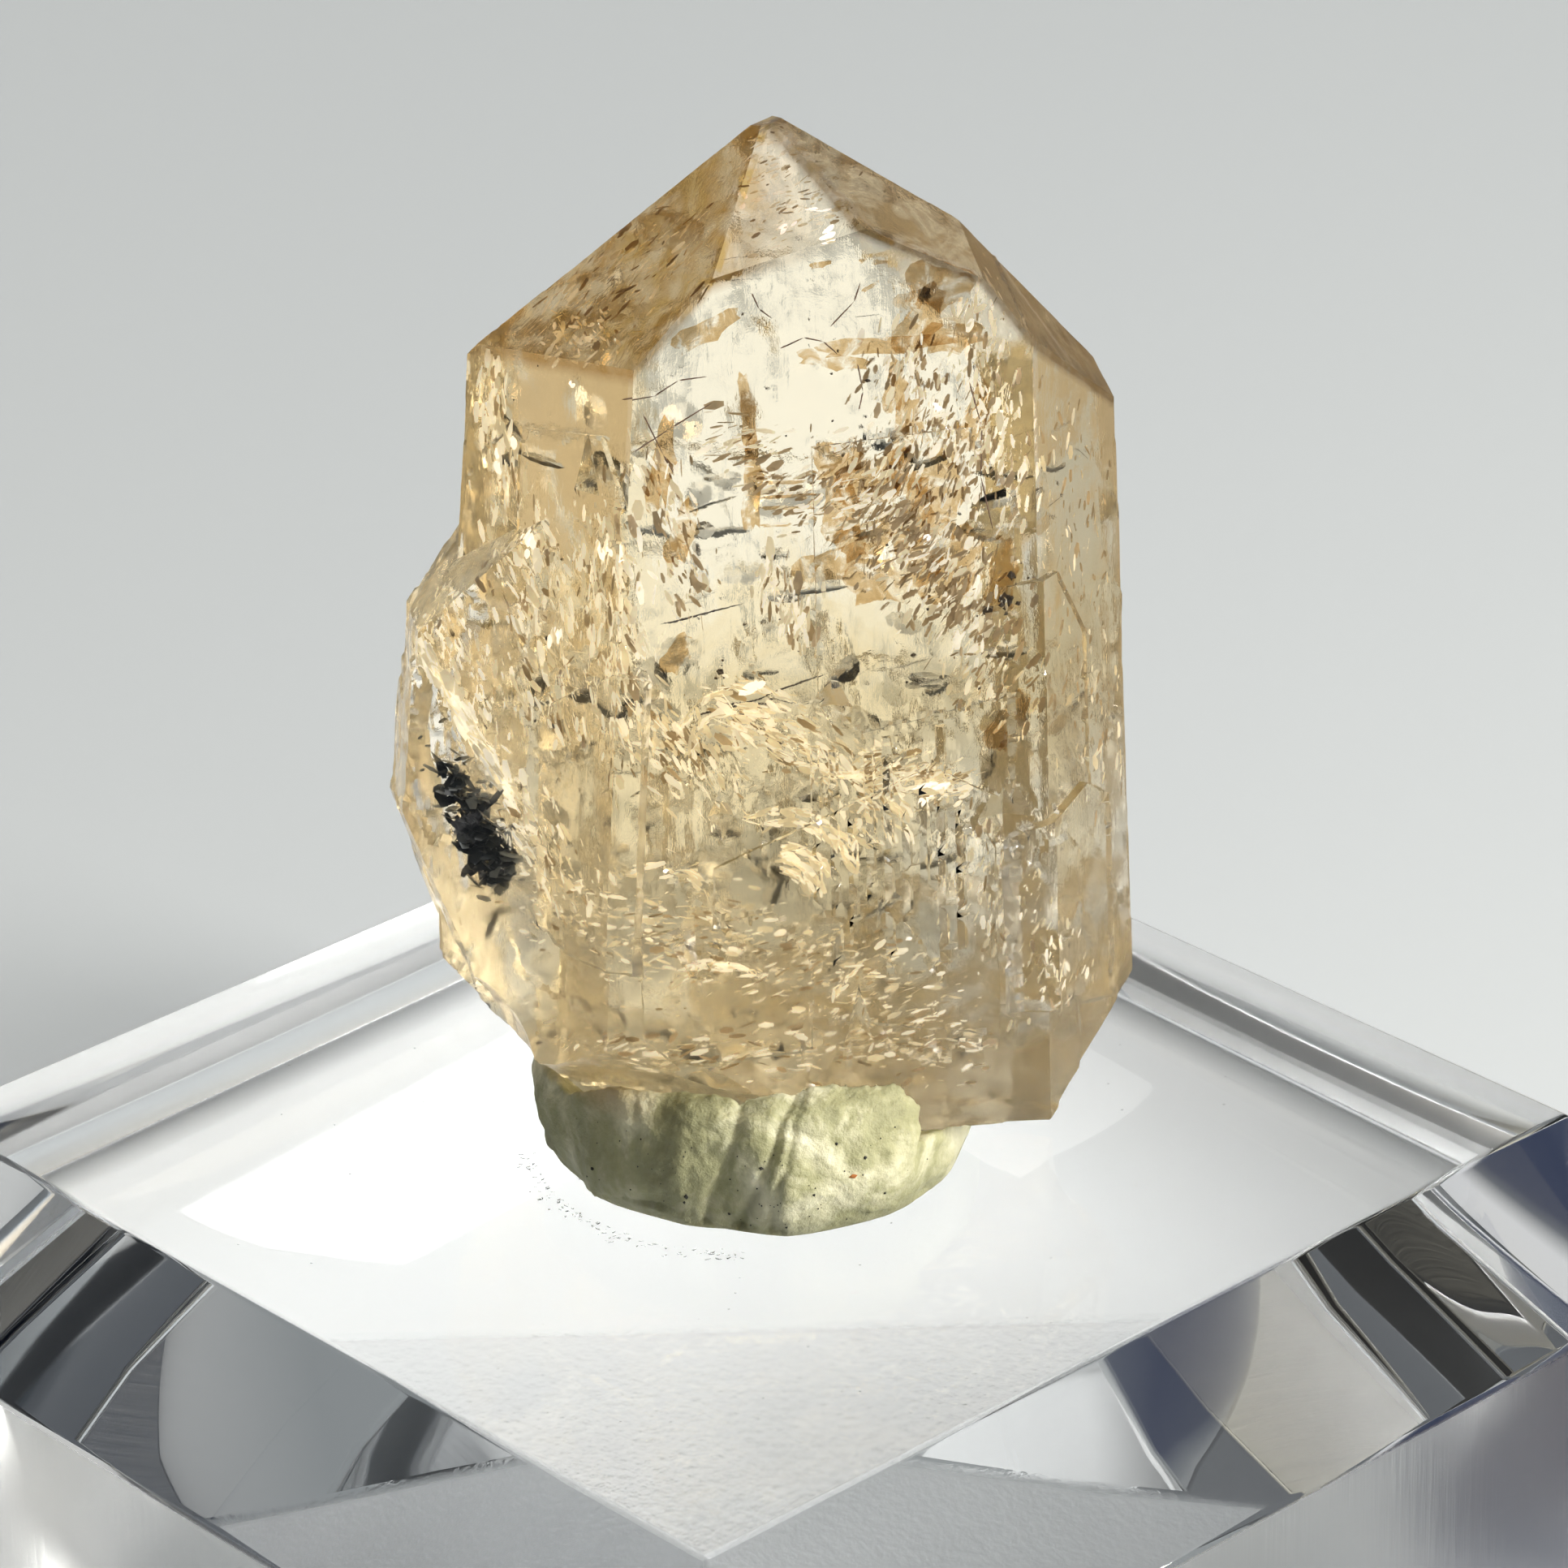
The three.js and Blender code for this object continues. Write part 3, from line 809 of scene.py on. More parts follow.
# Specks that the photograph shows one by one: place and size, in the specimen's frame
SPECKS = (
    (6.5, -1.3, 17.8, 0.20), (4.2, -2.0, 14.5, 0.14), (3.3, -2.0, 14.5, 0.09), (5.8, -1.5, 13.0, 0.18),
    (5.4, -1.5, 12.8, 0.15), (5.9, -1.4, 13.5, 0.12), (2.6, -2.2, 16.6, 0.16), (-0.2, -2.6, 12.0, 0.1),
    (3.0, -2.4, 16.0, 0.1), (4.6, -2.2, 15.6, 0.1), (-1.1, -1.0, 20.6, 0.1), (-0.7, -1.0, 20.9, 0.08),
)


def build_specks(crystal):
    """Dark specks, each of those that the photograph shows with a few crumbs beside it."""
    chance = random.Random(23)
    placings = []
    for x, y, z, size in SPECKS:
        placings.append(turned(chance, Vector((x, y, z)), (size, size * 0.8, size * 1.2)))
        for _ in range(5):
            near = Vector((x, y, z)) + Vector([chance.gauss(0, 1.3 * size) for _ in range(3)])
            part = size * chance.uniform(0.2, 0.5)
            placings.append(turned(chance, near, (part, part, part)))
    for _ in range(260):
        size = chance.uniform(0.015, 0.05)
        placings.append(turned(chance, inside(chance), (size, size, size * chance.uniform(1, 2.4))))
    material = plain_material("dark_specks", SPECK_BROWN, roughness=0.6)
    placings = [placing for placing in placings if sealed(crystal, placing)]
    joined("dark_specks", lump_template(), placings, material, "topaz")


# Wisps of flakes behind the crystal's front: from and to, across and up, how far they stray, how many, the
# longest, which way they lie, and the share of them that is bright
WISPS = (
    ((-4.2, 17.4), (-1.5, 19.4), 0.45, 240, 0.26, (1.0, 0.2, 0.8), 0.7),
    ((-0.6, 20.9), (1.0, 20.6), 0.3, 90, 0.14, (1.0, 0.1, 0.4), 0.8),
    ((0.0, 19.8), (1.7, 20.1), 0.3, 120, 0.16, (1.0, 0.1, 0.3), 0.8),
    ((-4.2, 17.1), (-3.0, 17.5), 0.2, 110, 0.26, (0.7, 0.1, -0.7), 0.9),
    ((-5.6, 16.4), (-5.3, 13.6), 0.22, 240, 0.34, (0.1, 0.1, -1.0), 0.9),
    ((-4.9, 13.4), (-4.2, 9.0), 0.5, 520, 0.34, (0.35, 0.1, -1.0), 0.85),
    ((-3.3, 14.0), (-2.8, 9.2), 0.35, 320, 0.34, (0.12, 0.1, -1.0), 0.85),
    ((-2.2, 15.0), (-1.5, 11.9), 0.25, 160, 0.3, (0.2, 0.1, -1.0), 0.5),
    ((-2.9, 9.4), (-0.8, 8.2), 0.45, 280, 0.28, (0.5, 0.1, -1.0), 0.8),
    ((-0.9, 9.7), (0.9, 8.5), 0.35, 300, 0.26, (0.9, 0.1, -0.5), 0.8),
    ((1.8, 8.3), (4.1, 7.7), 0.2, 240, 0.26, (1.0, 0.1, 0.25), 0.85),
    ((1.2, 8.6), (2.6, 7.0), 0.35, 200, 0.28, (0.6, 0.1, -0.7), 0.75),
    ((4.4, 18.0), (5.1, 13.5), 0.3, 320, 0.26, (0.2, 0.1, 1.0), 0.75),
    ((2.8, 17.0), (4.3, 14.2), 0.45, 420, 0.24, (0.3, 0.1, 1.0), 0.45),
    ((1.6, 14.6), (3.8, 12.0), 0.45, 420, 0.24, (0.9, 0.1, 0.5), 0.45),
    ((3.6, 12.4), (5.2, 9.2), 0.45, 320, 0.26, (0.5, 0.1, 1.0), 0.6),
    ((1.9, 14.8), (4.4, 11.6), 0.6, 620, 0.22, (0.5, 0.1, 1.0), 0.25),
    ((-4.9, 5.4), (-0.7, 4.6), 0.6, 460, 0.2, (1.0, 0.1, -0.1), 0.8),
    ((-0.6, 4.4), (3.6, 2.6), 0.6, 440, 0.2, (1.0, 0.1, 0.2), 0.8),
    ((3.8, 6.8), (5.8, 3.2), 0.5, 360, 0.2, (0.3, 0.1, 1.0), 0.8),
    ((-4.4, 2.4), (4.3, 1.9), 0.25, 320, 0.24, (1.0, 0.1, 0.1), 0.6),
    ((-7.2, 10.4), (-5.4, 7.4), 0.08, 420, 0.42, (1.0, -0.5, -1.6), 1.0),
    ((-7.0, 12.0), (-6.0, 9.0), 0.35, 300, 0.24, (0.2, 0.1, -1.0), 0.95),
    ((-5.4, 7.6), (-4.2, 5.4), 0.45, 300, 0.26, (0.7, 0.1, -1.0), 0.9),
    ((-0.8, 15.6), (1.0, 13.6), 0.3, 200, 0.26, (1.0, 0.1, 0.25), 0.55),
    ((0.0, 12.6), (0.8, 11.2), 0.22, 140, 0.3, (0.1, 0.1, 1.0), 0.7),
    ((6.2, 15.2), (7.0, 7.0), 0.35, 260, 0.22, (0.2, 0.1, 1.0), 0.4),
)

# Arcs of bright flakes in the lower half: middle across and up, radius, from and to in degrees, how many
ARCS = (
    (0.0, 5.4, 0.8, 20, 75, 40), (0.0, 5.4, 1.05, 15, 80, 60), (0.05, 5.4, 1.3, 20, 85, 60),
    (0.1, 5.4, 1.75, 25, 100, 60), (0.1, 5.3, 2.1, 40, 110, 50), (-0.6, 8.6, 1.1, 60, 170, 60),
    (-0.5, 8.6, 1.55, 50, 150, 60), (1.6, 9.0, 0.9, 190, 290, 50), (-2.6, 5.0, 1.4, 30, 110, 40),
    (2.4, 3.0, 1.2, 80, 170, 40), (-1.2, 2.6, 1.6, 50, 130, 50), (3.2, 6.6, 1.5, 100, 190, 40),
)

# Tan films behind the front: across, up, depth, half length, half height and turn in degrees
FILMS = (
    (-1.12, 17.74, 0.25, 0.66, 0.22, 27), (3.68, 18.4, 0.3, 0.62, 0.42, -10),
    (3.15, 18.15, 0.35, 0.35, 0.18, 20), (3.95, 17.3, 0.45, 0.55, 0.3, 5),
    (2.6, 17.22, 0.45, 1.3, 0.17, 3), (1.45, 16.95, 0.5, 0.65, 0.16, -10),
    (1.28, 19.02, 0.15, 0.2, 0.06, 10), (2.36, 19.02, 0.15, 0.26, 0.05, -5),
    (2.3, 18.5, 0.2, 0.18, 0.04, 30), (-0.3, 15.9, 0.5, 0.75, 0.15, 95),
    (-0.25, 14.4, 0.6, 0.9, 0.18, 88), (1.52, 14.8, 0.5, 0.44, 0.36, 0),
    (2.75, 16.3, 0.6, 0.5, 0.2, 80), (3.0, 15.0, 0.8, 0.9, 0.35, 85), (3.1, 13.5, 0.7, 0.8, 0.3, 80),
    (4.4, 15.5, 0.8, 0.7, 0.25, 70), (2.1, 13.1, 0.9, 0.6, 0.35, 20), (-1.7, 13.5, 0.4, 0.6, 0.25, 70),
    (-2.1, 14.9, 0.4, 0.9, 0.22, 80), (1.3, 12.6, 0.8, 0.7, 0.3, 20), (0.5, 14.45, 0.4, 0.45, 0.04, 0),
    (0.5, 14.15, 0.4, 0.5, 0.035, 2), (0.45, 13.9, 0.4, 0.5, 0.04, -2),
    (0.4, 13.55, 0.4, 0.45, 0.035, 0), (2.3, 14.3, 0.9, 0.8, 0.45, 30), (3.6, 13.9, 1.0, 0.9, 0.5, 80),
    (2.6, 12.2, 1.0, 0.9, 0.45, 10), (3.9, 12.3, 1.1, 0.8, 0.5, 60), (3.3, 17.6, 0.9, 0.7, 0.35, 60),
    (1.6, 13.7, 1.0, 0.6, 0.4, 90), (-1.9, 10.9, 0.5, 0.4, 0.22, 60), (4.9, 12.2, 0.6, 0.7, 0.28, 85),
    (5.0, 9.0, 0.7, 0.6, 0.3, 60),
)

# Fine brown lines in the window, each a chain of places across and up
LINES = (
    ((-2.8, 16.35), (-2.2, 16.45), (-1.7, 16.75), (-1.1, 16.8)),
    ((-2.65, 15.3), (-1.9, 15.75), (-1.0, 16.25)), ((-0.15, 18.5), (0.0, 18.15), (0.25, 17.95)),
    ((1.45, 17.7), (1.95, 18.2), (2.1, 18.6)), ((-2.45, 16.1), (-2.05, 15.2), (-1.85, 14.8)),
    ((0.4, 17.3), (0.9, 17.5), (1.3, 17.4), (1.6, 17.1)),
    ((4.3, 16.4), (4.55, 15.4), (4.5, 14.4), (4.75, 13.2)), ((2.0, 16.9), (2.1, 16.3), (2.0, 15.9)),
)


def flake_along(chance, spot, way, longest):
    """A thin flake lying more or less one way."""
    along = Vector(way).normalized() + Vector([chance.gauss(0, 0.25) for _ in range(3)])
    turn = along.to_track_quat("Y", "Z").to_matrix().to_4x4()
    roll = Matrix.Rotation(chance.uniform(-1.3, 1.3), 4, "Y")
    length = longest * chance.uniform(0.15, 1.0) ** 1.5
    size = Matrix.Diagonal((length * chance.uniform(0.12, 0.42) + 0.008, length, 0.06, 1))
    return Matrix.Translation(spot) @ turn @ roll @ size


def strewn(crystal, chance, start, end, stray, count, longest, way):
    """Placings of thin flakes along a line behind the crystal's front."""
    placings = []
    for _ in range(count):
        across, up = Vector(start).lerp(Vector(end), chance.random())
        depth = 0.15 + abs(chance.gauss(0, 0.6))
        spot = under_skin(crystal, across + chance.gauss(0, stray), up + chance.gauss(0, stray), depth)
        if spot:
            placings.append(flake_along(chance, spot, way, longest))
    return placings


def along_arc(crystal, chance, across, up, radius, first, last, count):
    """Placings of thin flakes along an arc behind the crystal's front."""
    placings = []
    for _ in range(count):
        turn = math.radians(chance.uniform(first, last))
        out = radius + chance.gauss(0, 0.04)
        depth = 0.25 + abs(chance.gauss(0, 0.15))
        spot = under_skin(crystal, across + out * math.cos(turn), up + out * math.sin(turn), depth)
        if spot:
            placings.append(flake_along(chance, spot, (-math.sin(turn), 0.1, math.cos(turn)), 0.28))
    return placings


def build_wisps(crystal):
    """Veils of thin flakes, the bright ones cream and gold, the others tan."""
    chance = random.Random(37)
    bright = []
    dull = []
    for *wisp, light in WISPS:
        for placing in strewn(crystal, chance, *wisp):
            (bright if chance.random() < light else dull).append(placing)
    for arc in ARCS:
        bright += along_arc(crystal, chance, *arc)
    for name, placings in (("cream_wisps", bright[::2]), ("gold_wisps", bright[1::2]), ("tan_wisps", dull)):
        placings = [placing for placing in placings if sealed(crystal, placing, clearance=0.25)]
        joined(name, flake_template(), placings, plain_material(name, *WISP_FINISHES[name]), "topaz")


def build_films(crystal):
    """Tan films and fine brown lines behind the front."""
    placings = []
    for across, up, depth, long, high, turn in FILMS:
        size = (FILM_SIZE[0] * long, FILM_SIZE[1] * high, FILM_SIZE[2], 1)
        flat = facing_front(turn) @ Matrix.Diagonal(size)
        placings.append(Matrix.Translation(under_skin(crystal, across, up, depth)) @ flat)
    placings = [placing for placing in placings if sealed(crystal, placing, clearance=0.05)]
    joined("tan_films", flake_template(sides=18, thick=0.10, ragged=0.35), placings, film_material(), "topaz")
    lines = []
    for line in LINES:
        places = [under_skin(crystal, across, up, LINE_DEPTH) for across, up in line]
        lines += [between(start, end, LINE_THICK) for start, end in zip(places, places[1:])]
    lines = [placing for placing in lines if sealed(crystal, placing, clearance=0.0)]
    material = plain_material("brown_lines", LINE_BROWN, roughness=0.5)
    joined("brown_lines", rod_template(), lines, material, "topaz")


# Cracks beside the dark specks and in the foot, in the specimen's frame, and their size
CRACKS = ((4.0, -2.2, 14.3), (4.4, -2.2, 14.6), (3.4, -2.0, 16.9), (-5.0, -1.4, 5.6), (1.6, -2.2, 9.0))
CRACK_SIZE = (0.5, 0.3, 0.2)


def build_cracks(crystal):
    """Clear healed cracks: wide thin lenses that mirror and bend what is behind them."""
    chance = random.Random(53)
    placings = []
    for _ in range(170):
        spot = inside(chance, (-4.6, -2.6, 2.4), (6.2, 2.6, 16.0))
        wide = chance.uniform(0.15, 0.75)
        placings.append(turned(chance, spot, (wide, wide * chance.uniform(0.4, 1.0), 0.35 * wide)))
    placings += [turned(chance, Vector(place), CRACK_SIZE) for place in CRACKS]
    material = clear_material("clear_cracks", CRACK_BENDING)
    placings = [placing for placing in placings if sealed(crystal, placing)]
    joined("clear_cracks", flake_template(sides=9, thick=0.12), placings, material, "topaz")


# Glints that the photograph shows one by one: across, up, half length, half height and turn in degrees
GLINTS = (
    (3.4, 7.85, 0.42, 0.1, 12), (3.15, 7.6, 0.3, 0.07, 25), (2.8, 4.53, 0.07, 0.06, 0),
    (3.35, 13.15, 0.1, 0.07, 40), (-0.28, 10.1, 0.4, 0.12, 8), (-3.9, 16.4, 0.12, 0.07, 10),
    (1.3, 20.0, 0.28, 0.05, 5), (-0.2, 20.2, 0.12, 0.1, 30), (0.6, 19.7, 0.2, 0.08, 20),
    (1.5, 19.6, 0.3, 0.12, 25), (3.6, 15.9, 0.16, 0.07, -30), (-5.38, 14.37, 0.34, 0.3, 80),
    (-3.32, 13.11, 0.3, 0.22, 75), (-5.0, 12.9, 0.26, 0.16, 60), (-4.3, 11.0, 0.3, 0.14, 70),
)


def build_glints(crystal):
    """The brightest glints, small flakes that glow as painted glints where the light would catch them full
    on.
    """
    chance = random.Random(61)
    placings = []
    for across, up, long, high, turn in GLINTS:
        for _ in range(4):
            share = chance.uniform(0.35, 0.8)
            aside, above = chance.gauss(0, 0.4 * long), chance.gauss(0, 0.6 * high)
            spot = under_skin(crystal, across + aside, up + above, 0.3)
            size = Matrix.Diagonal((share * long, share * high, 0.3 * high, 1))
            placings.append(Matrix.Translation(spot) @ facing_front(turn + chance.gauss(0, 15)) @ size)
    placings = [placing for placing in placings if sealed(crystal, placing, clearance=0.05)]
    # Their glow is a painted glint
    material = plain_material("white_glints", GLINT_WHITE, roughness=0.3, glow=1.0)
    joined("white_glints", flake_template(sides=10, thick=0.10, ragged=0.4), placings, material, "topaz")


# Dark crumbs on the lower rim of the bulge: place and size, in the specimen's frame
RIM_CRUMBS = (
    (-5.6, -1.1, 4.8, 0.12), (-5.5, -1.2, 4.1, 0.14), (-5.3, -1.2, 3.4, 0.2), (-5.0, -1.4, 3.1, 0.16),
    (-5.5, -0.7, 2.8, 0.12),
)


def build_dark_patch(crystal):
    """The grey-black film under the skin of the left bulge and the dark crumbs on its lower rim."""
    chance = random.Random(41)
    placings = []
    for _ in range(640):
        along = chance.uniform(0, 1)
        spot = Vector((-6.2 + 1.3 * along, -1.0 - 0.6 * along, 9.3 - 2.3 * along))
        spot += Vector((chance.gauss(0, 0.27), chance.gauss(0, 0.25), chance.gauss(0, 0.36)))
        size = chance.uniform(0.04, 0.19)
        placings.append(turned(chance, spot, (size, size * chance.uniform(1.0, 2.6), 0.1), 0.9))
    for _ in range(90):
        spot = Vector((chance.gauss(-4.6, 0.35), -2.0, chance.gauss(10.6, 0.7)))
        size = chance.uniform(0.02, 0.09)
        placings.append(turned(chance, spot, (size, size * chance.uniform(1.0, 3.0), 0.1), 0.9))
    for x, y, z, size in RIM_CRUMBS:
        for _ in range(9):
            spot = Vector((x, y, z)) + Vector([chance.gauss(0, 0.5 * size) for _ in range(3)])
            part = size * chance.uniform(0.3, 0.7)
            placings.append(turned(chance, spot, (part, part, part)))
    placings = [placing for placing in placings if sealed(crystal, placing, clearance=0.2)]
    black = [placing for number, placing in enumerate(placings) if number % 3]
    for name, colour, flakes in (("dark_film", FILM_BLACK, black), ("grey_film", FILM_GREY, placings[::3])):
        joined(name, flake_template(), flakes, plain_material(name, colour, roughness=0.2), "topaz")


# Putty

# Pleats pressed into the putty's front: place across, half width, depth and slant
PLEATS = (
    (-0.9, 0.12, 0.1, 0.3), (-0.2, 0.14, 0.15, 0.4), (0.5, 0.08, 0.08, 0.25),
)
# Lumps in the putty's skin: height and scale
PUTTY_WAVES = ((0.16, 0.7), (0.06, 2.2), (0.03, 6.0))


def carve_putty(putty):
    """Pleats in the middle and a slack, lumpy skin."""
    own_frame = specimen_matrix().inverted()
    moves = []
    for vertex in putty.data.vertices:
        own = own_frame @ vertex.co
        height = 0.0
        if own.z > 0.15 and vertex.normal.z > -0.4:
            for middle, wide, deep, lean in PLEATS:
                across = own.x - middle - lean * own.z - 0.25 * noise.noise(own * 0.9)
                height -= deep * math.exp(-(across / wide) ** 2) * ramp(-own.y, 1.0, 2.6)
            height += sum(high * noise.noise(own * scale) for high, scale in PUTTY_WAVES)
        moves.append(vertex.normal * height)
    for vertex, move in zip(putty.data.vertices, moves):
        vertex.co += move


def build_putty():
    putty = copied_node("putty_foot", "putty_pat")
    apply_modifier(putty, "REMESH", "even_mesh", mode="VOXEL", voxel_size=0.075, adaptivity=0.0)
    apply_modifier(putty, "SMOOTH", "soften", factor=0.5, iterations=6)
    carve_putty(putty)
    bpy.ops.object.shade_smooth()
    return finish_piece(putty, putty_material(), "putty", "putty_foot")


# Dark flecks that the photograph shows on the putty: place across, height and size
FLECKS = (
    (-3.2, 1.1, 0.05), (-1.2, 1.0, 0.06), (-1.25, 0.85, 0.04), (0.4, 1.9, 0.05), (1.5, 1.3, 0.04),
    (2.6, 1.9, 0.05), (3.0, 1.0, 0.035), (-0.3, 0.6, 0.04), (0.9, 0.5, 0.035), (2.0, 2.3, 0.04),
)


def on_putty(putty, across, height):
    """The place on the putty's front at so far across and so high, in the specimen's frame."""
    base = specimen_matrix()
    start = base @ Vector((across, -WELL_IN_FRONT, height)) * MM
    spot = putty.ray_cast(start, base.to_3x3() @ Vector((0, 1, 0)))[1]
    return base.inverted() @ (spot / MM)


SOOT_BLACK = (0.03, 0.03, 0.025)
# The orange speck on the putty: place across, height, colour and size
SPECK_PLACE = (2.35, 1.55)
RUST_ORANGE = (0.50, 0.17, 0.04)
RUST_SIZE = (0.12, 0.07, 0.06)


def build_putty_flecks(putty):
    """Dark flecks and one orange speck on the putty's front."""
    chance = random.Random(71)
    placings = [turned(chance, on_putty(putty, across, height), (size, size, 1.4 * size))
                for across, height, size in FLECKS]
    for _ in range(60):
        size = chance.uniform(0.012, 0.028)
        spot = on_putty(putty, chance.uniform(-3.6, 4.2), chance.uniform(0.4, 2.4))
        placings.append(turned(chance, spot, (size, size, size)))
    joined("putty_flecks", lump_template(), placings, plain_material("soot", SOOT_BLACK, 0.7), "putty")
    speck = [turned(chance, on_putty(putty, *SPECK_PLACE), RUST_SIZE)]
    joined("orange_speck", lump_template(), speck, plain_material("rust", RUST_ORANGE, 0.7), "putty")


def build_residue():
    """Greasy smears round the putty's left foot, and dust, on the block's top."""
    chance = random.Random(83)
    placings = []
    for _ in range(130):
        turn = math.radians(chance.uniform(-85, -5))
        out = 5.0 + 0.22 * abs(chance.gauss(0, 1))
        spot = Vector((0.45 + out * math.sin(turn), -1.05 - out * math.cos(turn), 0.012))
        size = chance.uniform(0.02, 0.09)
        placings.append(turned(chance, spot, (size, size * chance.uniform(0.3, 0.7), 0.012), 0.0))
    for _ in range(90):
        spot = Vector((chance.uniform(-11, 11), chance.uniform(-13, 6), 0.01))
        size = chance.uniform(0.012, 0.035)
        if abs(spot.x) + abs(spot.y) < 16:
            placings.append(turned(chance, spot, (size, size, 0.01), 0.0))
    joined("residue", lump_template(), placings, clear_material("grease", GREASE_BENDING), "putty")


# Block

def build_block():
    """A square block with a bevel round its top and softened edges."""
    bpy.ops.object.select_all(action="DESELECT")
    bpy.ops.mesh.primitive_cube_add(size=1, location=(0, 0, BLOCK_TOP / 2))
    block = bpy.context.active_object
    block.name = "acrylic_block"
    block.scale = (BLOCK_SIDE, BLOCK_SIDE, BLOCK_TOP)
    bpy.ops.object.transform_apply(location=True, rotation=True, scale=True)
    bpy.ops.object.mode_set(mode="EDIT")
    bpy.ops.mesh.select_mode(type="FACE")
    bpy.ops.mesh.select_all(action="DESELECT")
    bpy.ops.object.mode_set(mode="OBJECT")
    for face in block.data.polygons:
        face.select = face.normal.z > 0.9
    bpy.ops.object.mode_set(mode="EDIT")
    bpy.ops.mesh.inset(thickness=BLOCK_BEVEL, depth=0)
    bpy.ops.object.mode_set(mode="OBJECT")
    inner = BLOCK_SIDE / 2 - BLOCK_BEVEL / 2
    for vertex in block.data.vertices:
        if vertex.co.z > 1 and max(abs(vertex.co.x), abs(vertex.co.y)) > inner:
            vertex.co.z -= BLOCK_BEVEL
    apply_modifier(block, "BEVEL", "polished_edges", width=0.12, segments=3, limit_method="ANGLE",
                   angle_limit=math.radians(30))
    smooth_by_angle(block, degrees=30)
    return finish_piece(block, acrylic_material(), "clear_block", "display_block")


# Stage, light and camera

# Bright places on the paper beside the view, which the crystal's flanks gather: x, y, radius, strength
SIDE_GLOWS = (
    (-56, -92, 42, 0.7), (31, 30, 9, 0.6), (42, -16, 12, 0.8),
)

# The paper's radius in metres, its tint, and its tint beside the view and in front of it
PAPER_RADIUS = 1.6
PAPER, PAPER_BESIDE, PAPER_IN_FRONT = (0.545, 0.572, 0.592), (0.52, 0.43, 0.30), (0.12, 0.15, 0.18)
# Where the tint beside the view sets in, how that widens with the distance, and up to where
BESIDE, WIDENING, WIDEST = (23.0, 29.0), -0.12, -200.0
FRONT_EDGE = (-60.0, -26.0)
# The glow under the block: where it ends, and how it falls to the right
UNDER_EDGE, UNDER_FALL = (15.8, 14.8), (14.0, -2.0, 0.45, 1.0)
# The glow behind the crystal, a strip that narrows to a point: its near edge, its tip, the slant of the tip,
# its middle and its sides
BACK_NEAR, BACK_TIP, BACK_SLANT = (26.0, 32.0), (91.0, 85.0), 2.4
BACK_MIDDLE, BACK_SIDES = -1.0, (8.0, 6.5)
# The share of a side glow's radius within which it is full, and the glow's colour
FULL_SHARE = 0.6
GLOW_WHITE = (1.0, 0.99, 0.95, 1)


def build_stage():
    """Pale paper that glows where the camera doesn't see it, for the light that comes through the crystal."""
    bpy.ops.object.select_all(action="DESELECT")
    bpy.ops.mesh.primitive_circle_add(vertices=96, radius=PAPER_RADIUS, fill_type="NGON",
                                      location=(0, 0, -0.00002))
    floor = bpy.context.active_object
    floor.name = "pale_floor"
    material, tree, shader, output = new_material("pale_paper")
    place = object_place(tree, -SPECIMEN_TURN)
    split = split_axes(tree, place)
    aside = combine(tree, "ABSOLUTE", split.outputs["X"], 0.0)
    spread = combine(tree, "MAXIMUM", times(tree, split.outputs["Y"], WIDENING), WIDEST)
    beside = map_range(tree, combine(tree, "ADD", aside, spread), *BESIDE)
    paper = blend(tree, beside, PAPER, PAPER_BESIDE)
    front = map_range(tree, split.outputs["Y"], *FRONT_EDGE)
    tree.links.new(blend(tree, front, PAPER_IN_FRONT, paper), shader.inputs["Base Color"])
    shader.inputs["Roughness"].default_value = 0.7
    own = split_axes(tree, object_place(tree))
    sides = [combine(tree, "ABSOLUTE", own.outputs[axis], 0.0) for axis in ("X", "Y")]
    under = map_range(tree, combine(tree, "MAXIMUM", *sides), *UNDER_EDGE, 0.0, UNDERGLOW)
    under = times(tree, under, map_range(tree, split.outputs["X"], *UNDER_FALL))
    off_middle = combine(tree, "ABSOLUTE", combine(tree, "ADD", split.outputs["X"], BACK_MIDDLE), 0.0)
    near = map_range(tree, split.outputs["Y"], *BACK_NEAR)
    tip = combine(tree, "ADD", split.outputs["Y"], times(tree, off_middle, BACK_SLANT))
    far = map_range(tree, tip, *BACK_TIP)
    narrow = map_range(tree, off_middle, *BACK_SIDES, 0.0, BACKGLOW)
    glow = times(tree, times(tree, near, far), narrow)
    for x, y, radius, strength in SIDE_GLOWS:
        away = tree.nodes.new("ShaderNodeVectorMath")
        away.operation = "DISTANCE"
        away.inputs[1].default_value = (x, y, 0)
        tree.links.new(place, away.inputs[0])
        spot = map_range(tree, away.outputs["Value"], radius, FULL_SHARE * radius, 0.0, strength)
        glow = combine(tree, "ADD", glow, spot)
    shader.inputs["Emission Color"].default_value = GLOW_WHITE
    tree.links.new(combine(tree, "ADD", under, glow), shader.inputs["Emission Strength"])
    floor.data.materials.append(material)


def area_light(name, place, aim, size, power, colour):
    light = bpy.data.lights.new(name, "AREA")
    light.shape = "RECTANGLE"
    light.size, light.size_y = size
    light.energy = power
    light.color = colour
    lamp = bpy.data.objects.new(name, light)
    bpy.context.collection.objects.link(lamp)
    turn = Matrix.Rotation(SPECIMEN_TURN, 3, "Z")
    lamp.location = turn @ Vector(place)
    direction = turn @ (Vector(aim) - Vector(place))
    lamp.rotation_euler = direction.to_track_quat("-Z", "Y").to_euler()


# The sky by direction, in the specimen's frame: in front, behind, left, low left, overhead and right
SKY_FRONT, SKY_BEHIND, SKY_LEFT = (0.19, 0.20, 0.21), (0.50, 0.53, 0.53), (0.035, 0.055, 0.13)
SKY_LOW_LEFT, SKY_OVERHEAD, SKY_RIGHT = (1.2, 1.2, 1.2), (1.2, 1.1, 0.85), (1.1, 1.1, 1.06)
SKY_STRENGTH = 0.55
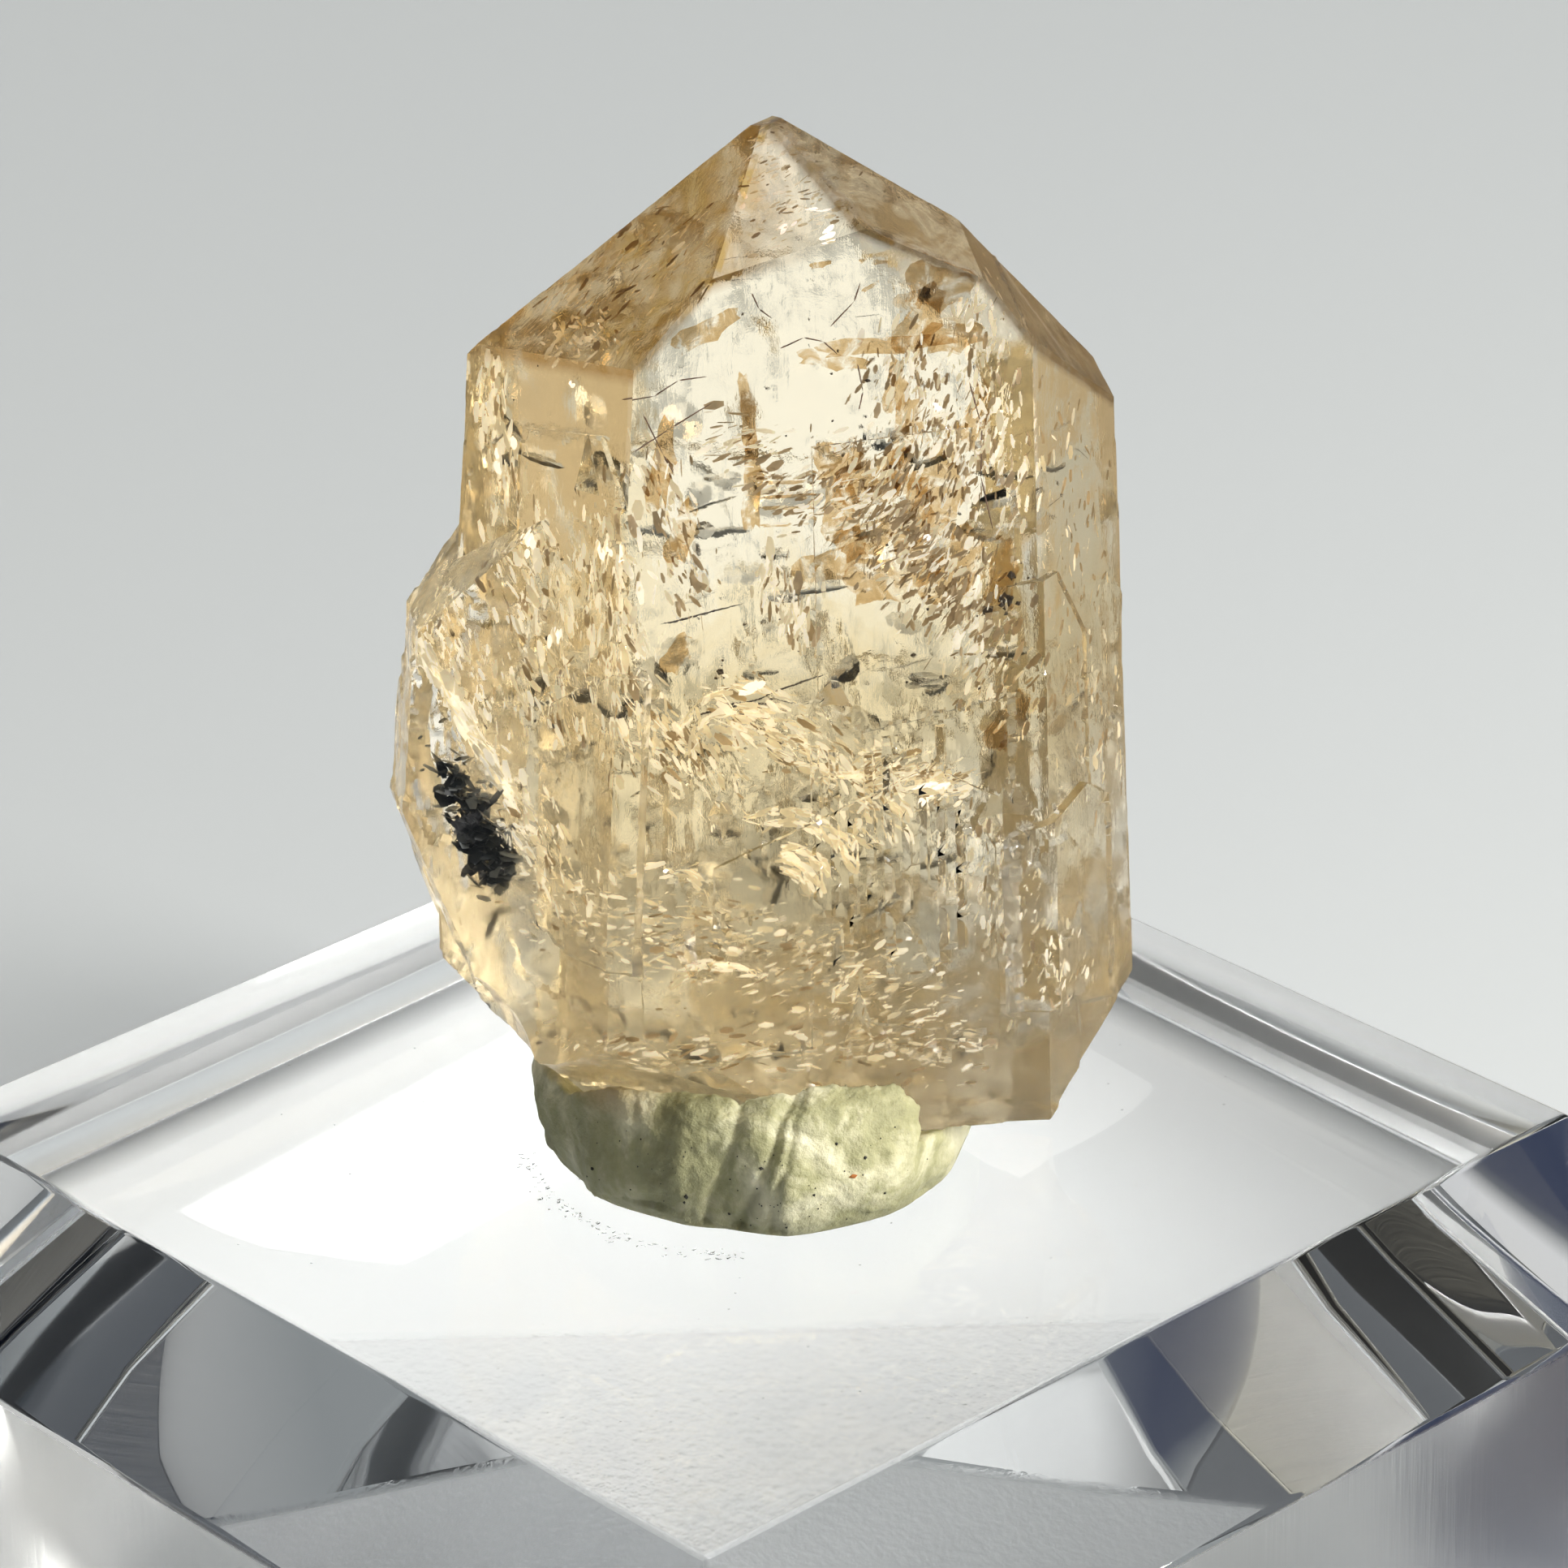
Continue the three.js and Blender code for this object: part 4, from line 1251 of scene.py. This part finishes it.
# Where each begins and is full, on the direction's own x, y and z
BEHIND_FROM = (-0.6, 0.3)
LEFT_FROM, LEFT_ABOVE = (-0.42, -0.66), (0.14, 0.24)
LOW_LEFT_FROM, LOW_LEFT_BELOW = (-0.72, -0.82), (0.20, 0.12)
OVERHEAD_WAY, OVERHEAD_FROM = (0.54, -0.45, 0.70), (0.75, 0.92)
RIGHT_FROM = (0.62, 0.92)
# The lamps: place, aim and size in metres, power in watts and colour
LAMPS = (
    ("soft_top", (-0.10, 0.10, 0.42), (0, 0, 0.02), (0.30, 0.30), 0.5, (1.0, 0.98, 0.94)),
    ("key_right", (0.13, -0.06, 0.075), (0, 0, 0.012), (0.05, 0.05), 0.32, (1.0, 0.97, 0.91)),
    ("back_soft", (0.14, 0.22, 0.46), (0, 0, 0.0), (0.40, 0.20), 0.9, (1.0, 0.99, 0.96)),
)


def build_lights():
    world = bpy.data.worlds.new("studio_air")
    bpy.context.scene.world = world
    world.use_nodes = True
    tree = world.node_tree
    background = tree.nodes["Background"]
    way = tree.nodes.new("ShaderNodeTexCoord")
    turned_way = tree.nodes.new("ShaderNodeMapping")
    turned_way.inputs["Rotation"].default_value = (0, 0, -SPECIMEN_TURN)
    tree.links.new(way.outputs["Generated"], turned_way.inputs["Vector"])
    split = split_axes(tree, turned_way.outputs["Vector"])
    sky = blend(tree, map_range(tree, split.outputs["Y"], *BEHIND_FROM), SKY_FRONT, SKY_BEHIND)
    left = both_shares(tree, split, X=LEFT_FROM, Z=LEFT_ABOVE)
    sky = blend(tree, left, sky, SKY_LEFT)
    low_left = both_shares(tree, split, X=LOW_LEFT_FROM, Z=LOW_LEFT_BELOW)
    sky = blend(tree, low_left, sky, SKY_LOW_LEFT)
    overhead = tree.nodes.new("ShaderNodeVectorMath")
    overhead.operation = "DOT_PRODUCT"
    overhead.inputs[1].default_value = OVERHEAD_WAY
    tree.links.new(turned_way.outputs["Vector"], overhead.inputs[0])
    sky = blend(tree, map_range(tree, overhead.outputs["Value"], *OVERHEAD_FROM), sky, SKY_OVERHEAD)
    sky = blend(tree, map_range(tree, split.outputs["X"], *RIGHT_FROM), sky, SKY_RIGHT)
    tree.links.new(sky, background.inputs["Color"])
    background.inputs["Strength"].default_value = SKY_STRENGTH
    for lamp in LAMPS:
        area_light(*lamp)


def build_camera():
    camera = bpy.data.objects.new("camera", bpy.data.cameras.new("camera"))
    bpy.context.collection.objects.link(camera)
    turn = Matrix.Rotation(CAMERA_TURN, 4, "Z")
    tilt = Matrix.Rotation(math.pi / 2 - CAMERA_HEIGHT, 4, "X")
    pose = turn @ tilt @ Matrix.Rotation(CAMERA_ROLL, 4, "Z")
    middle = Vector((0, 0, BLOCK_TOP))
    camera.matrix_world = Matrix.Translation((middle + pose @ CAMERA_OFFSET) * MM) @ pose
    camera.data.lens = CAMERA_LENS
    camera.data.sensor_width = CAMERA_SENSOR
    camera.data.clip_start = CAMERA_NEAR
    bpy.context.scene.camera = camera


def set_light_paths():
    cycles = bpy.context.scene.cycles
    cycles.max_bounces = 9
    cycles.transmission_bounces = 9
    cycles.glossy_bounces = 6
    cycles.diffuse_bounces = 2
    cycles.adaptive_threshold = 0.3
    bpy.context.scene.view_settings.view_transform = "Standard"


build_camera()
build_stage()
build_lights()
set_light_paths()
build_block()
putty = build_putty()
build_putty_flecks(putty)
build_residue()
crystal = build_crystal()
build_needles(crystal)
build_specks(crystal)
build_wisps(crystal)
build_films(crystal)
build_glints(crystal)
build_cracks(crystal)
build_dark_patch(crystal)
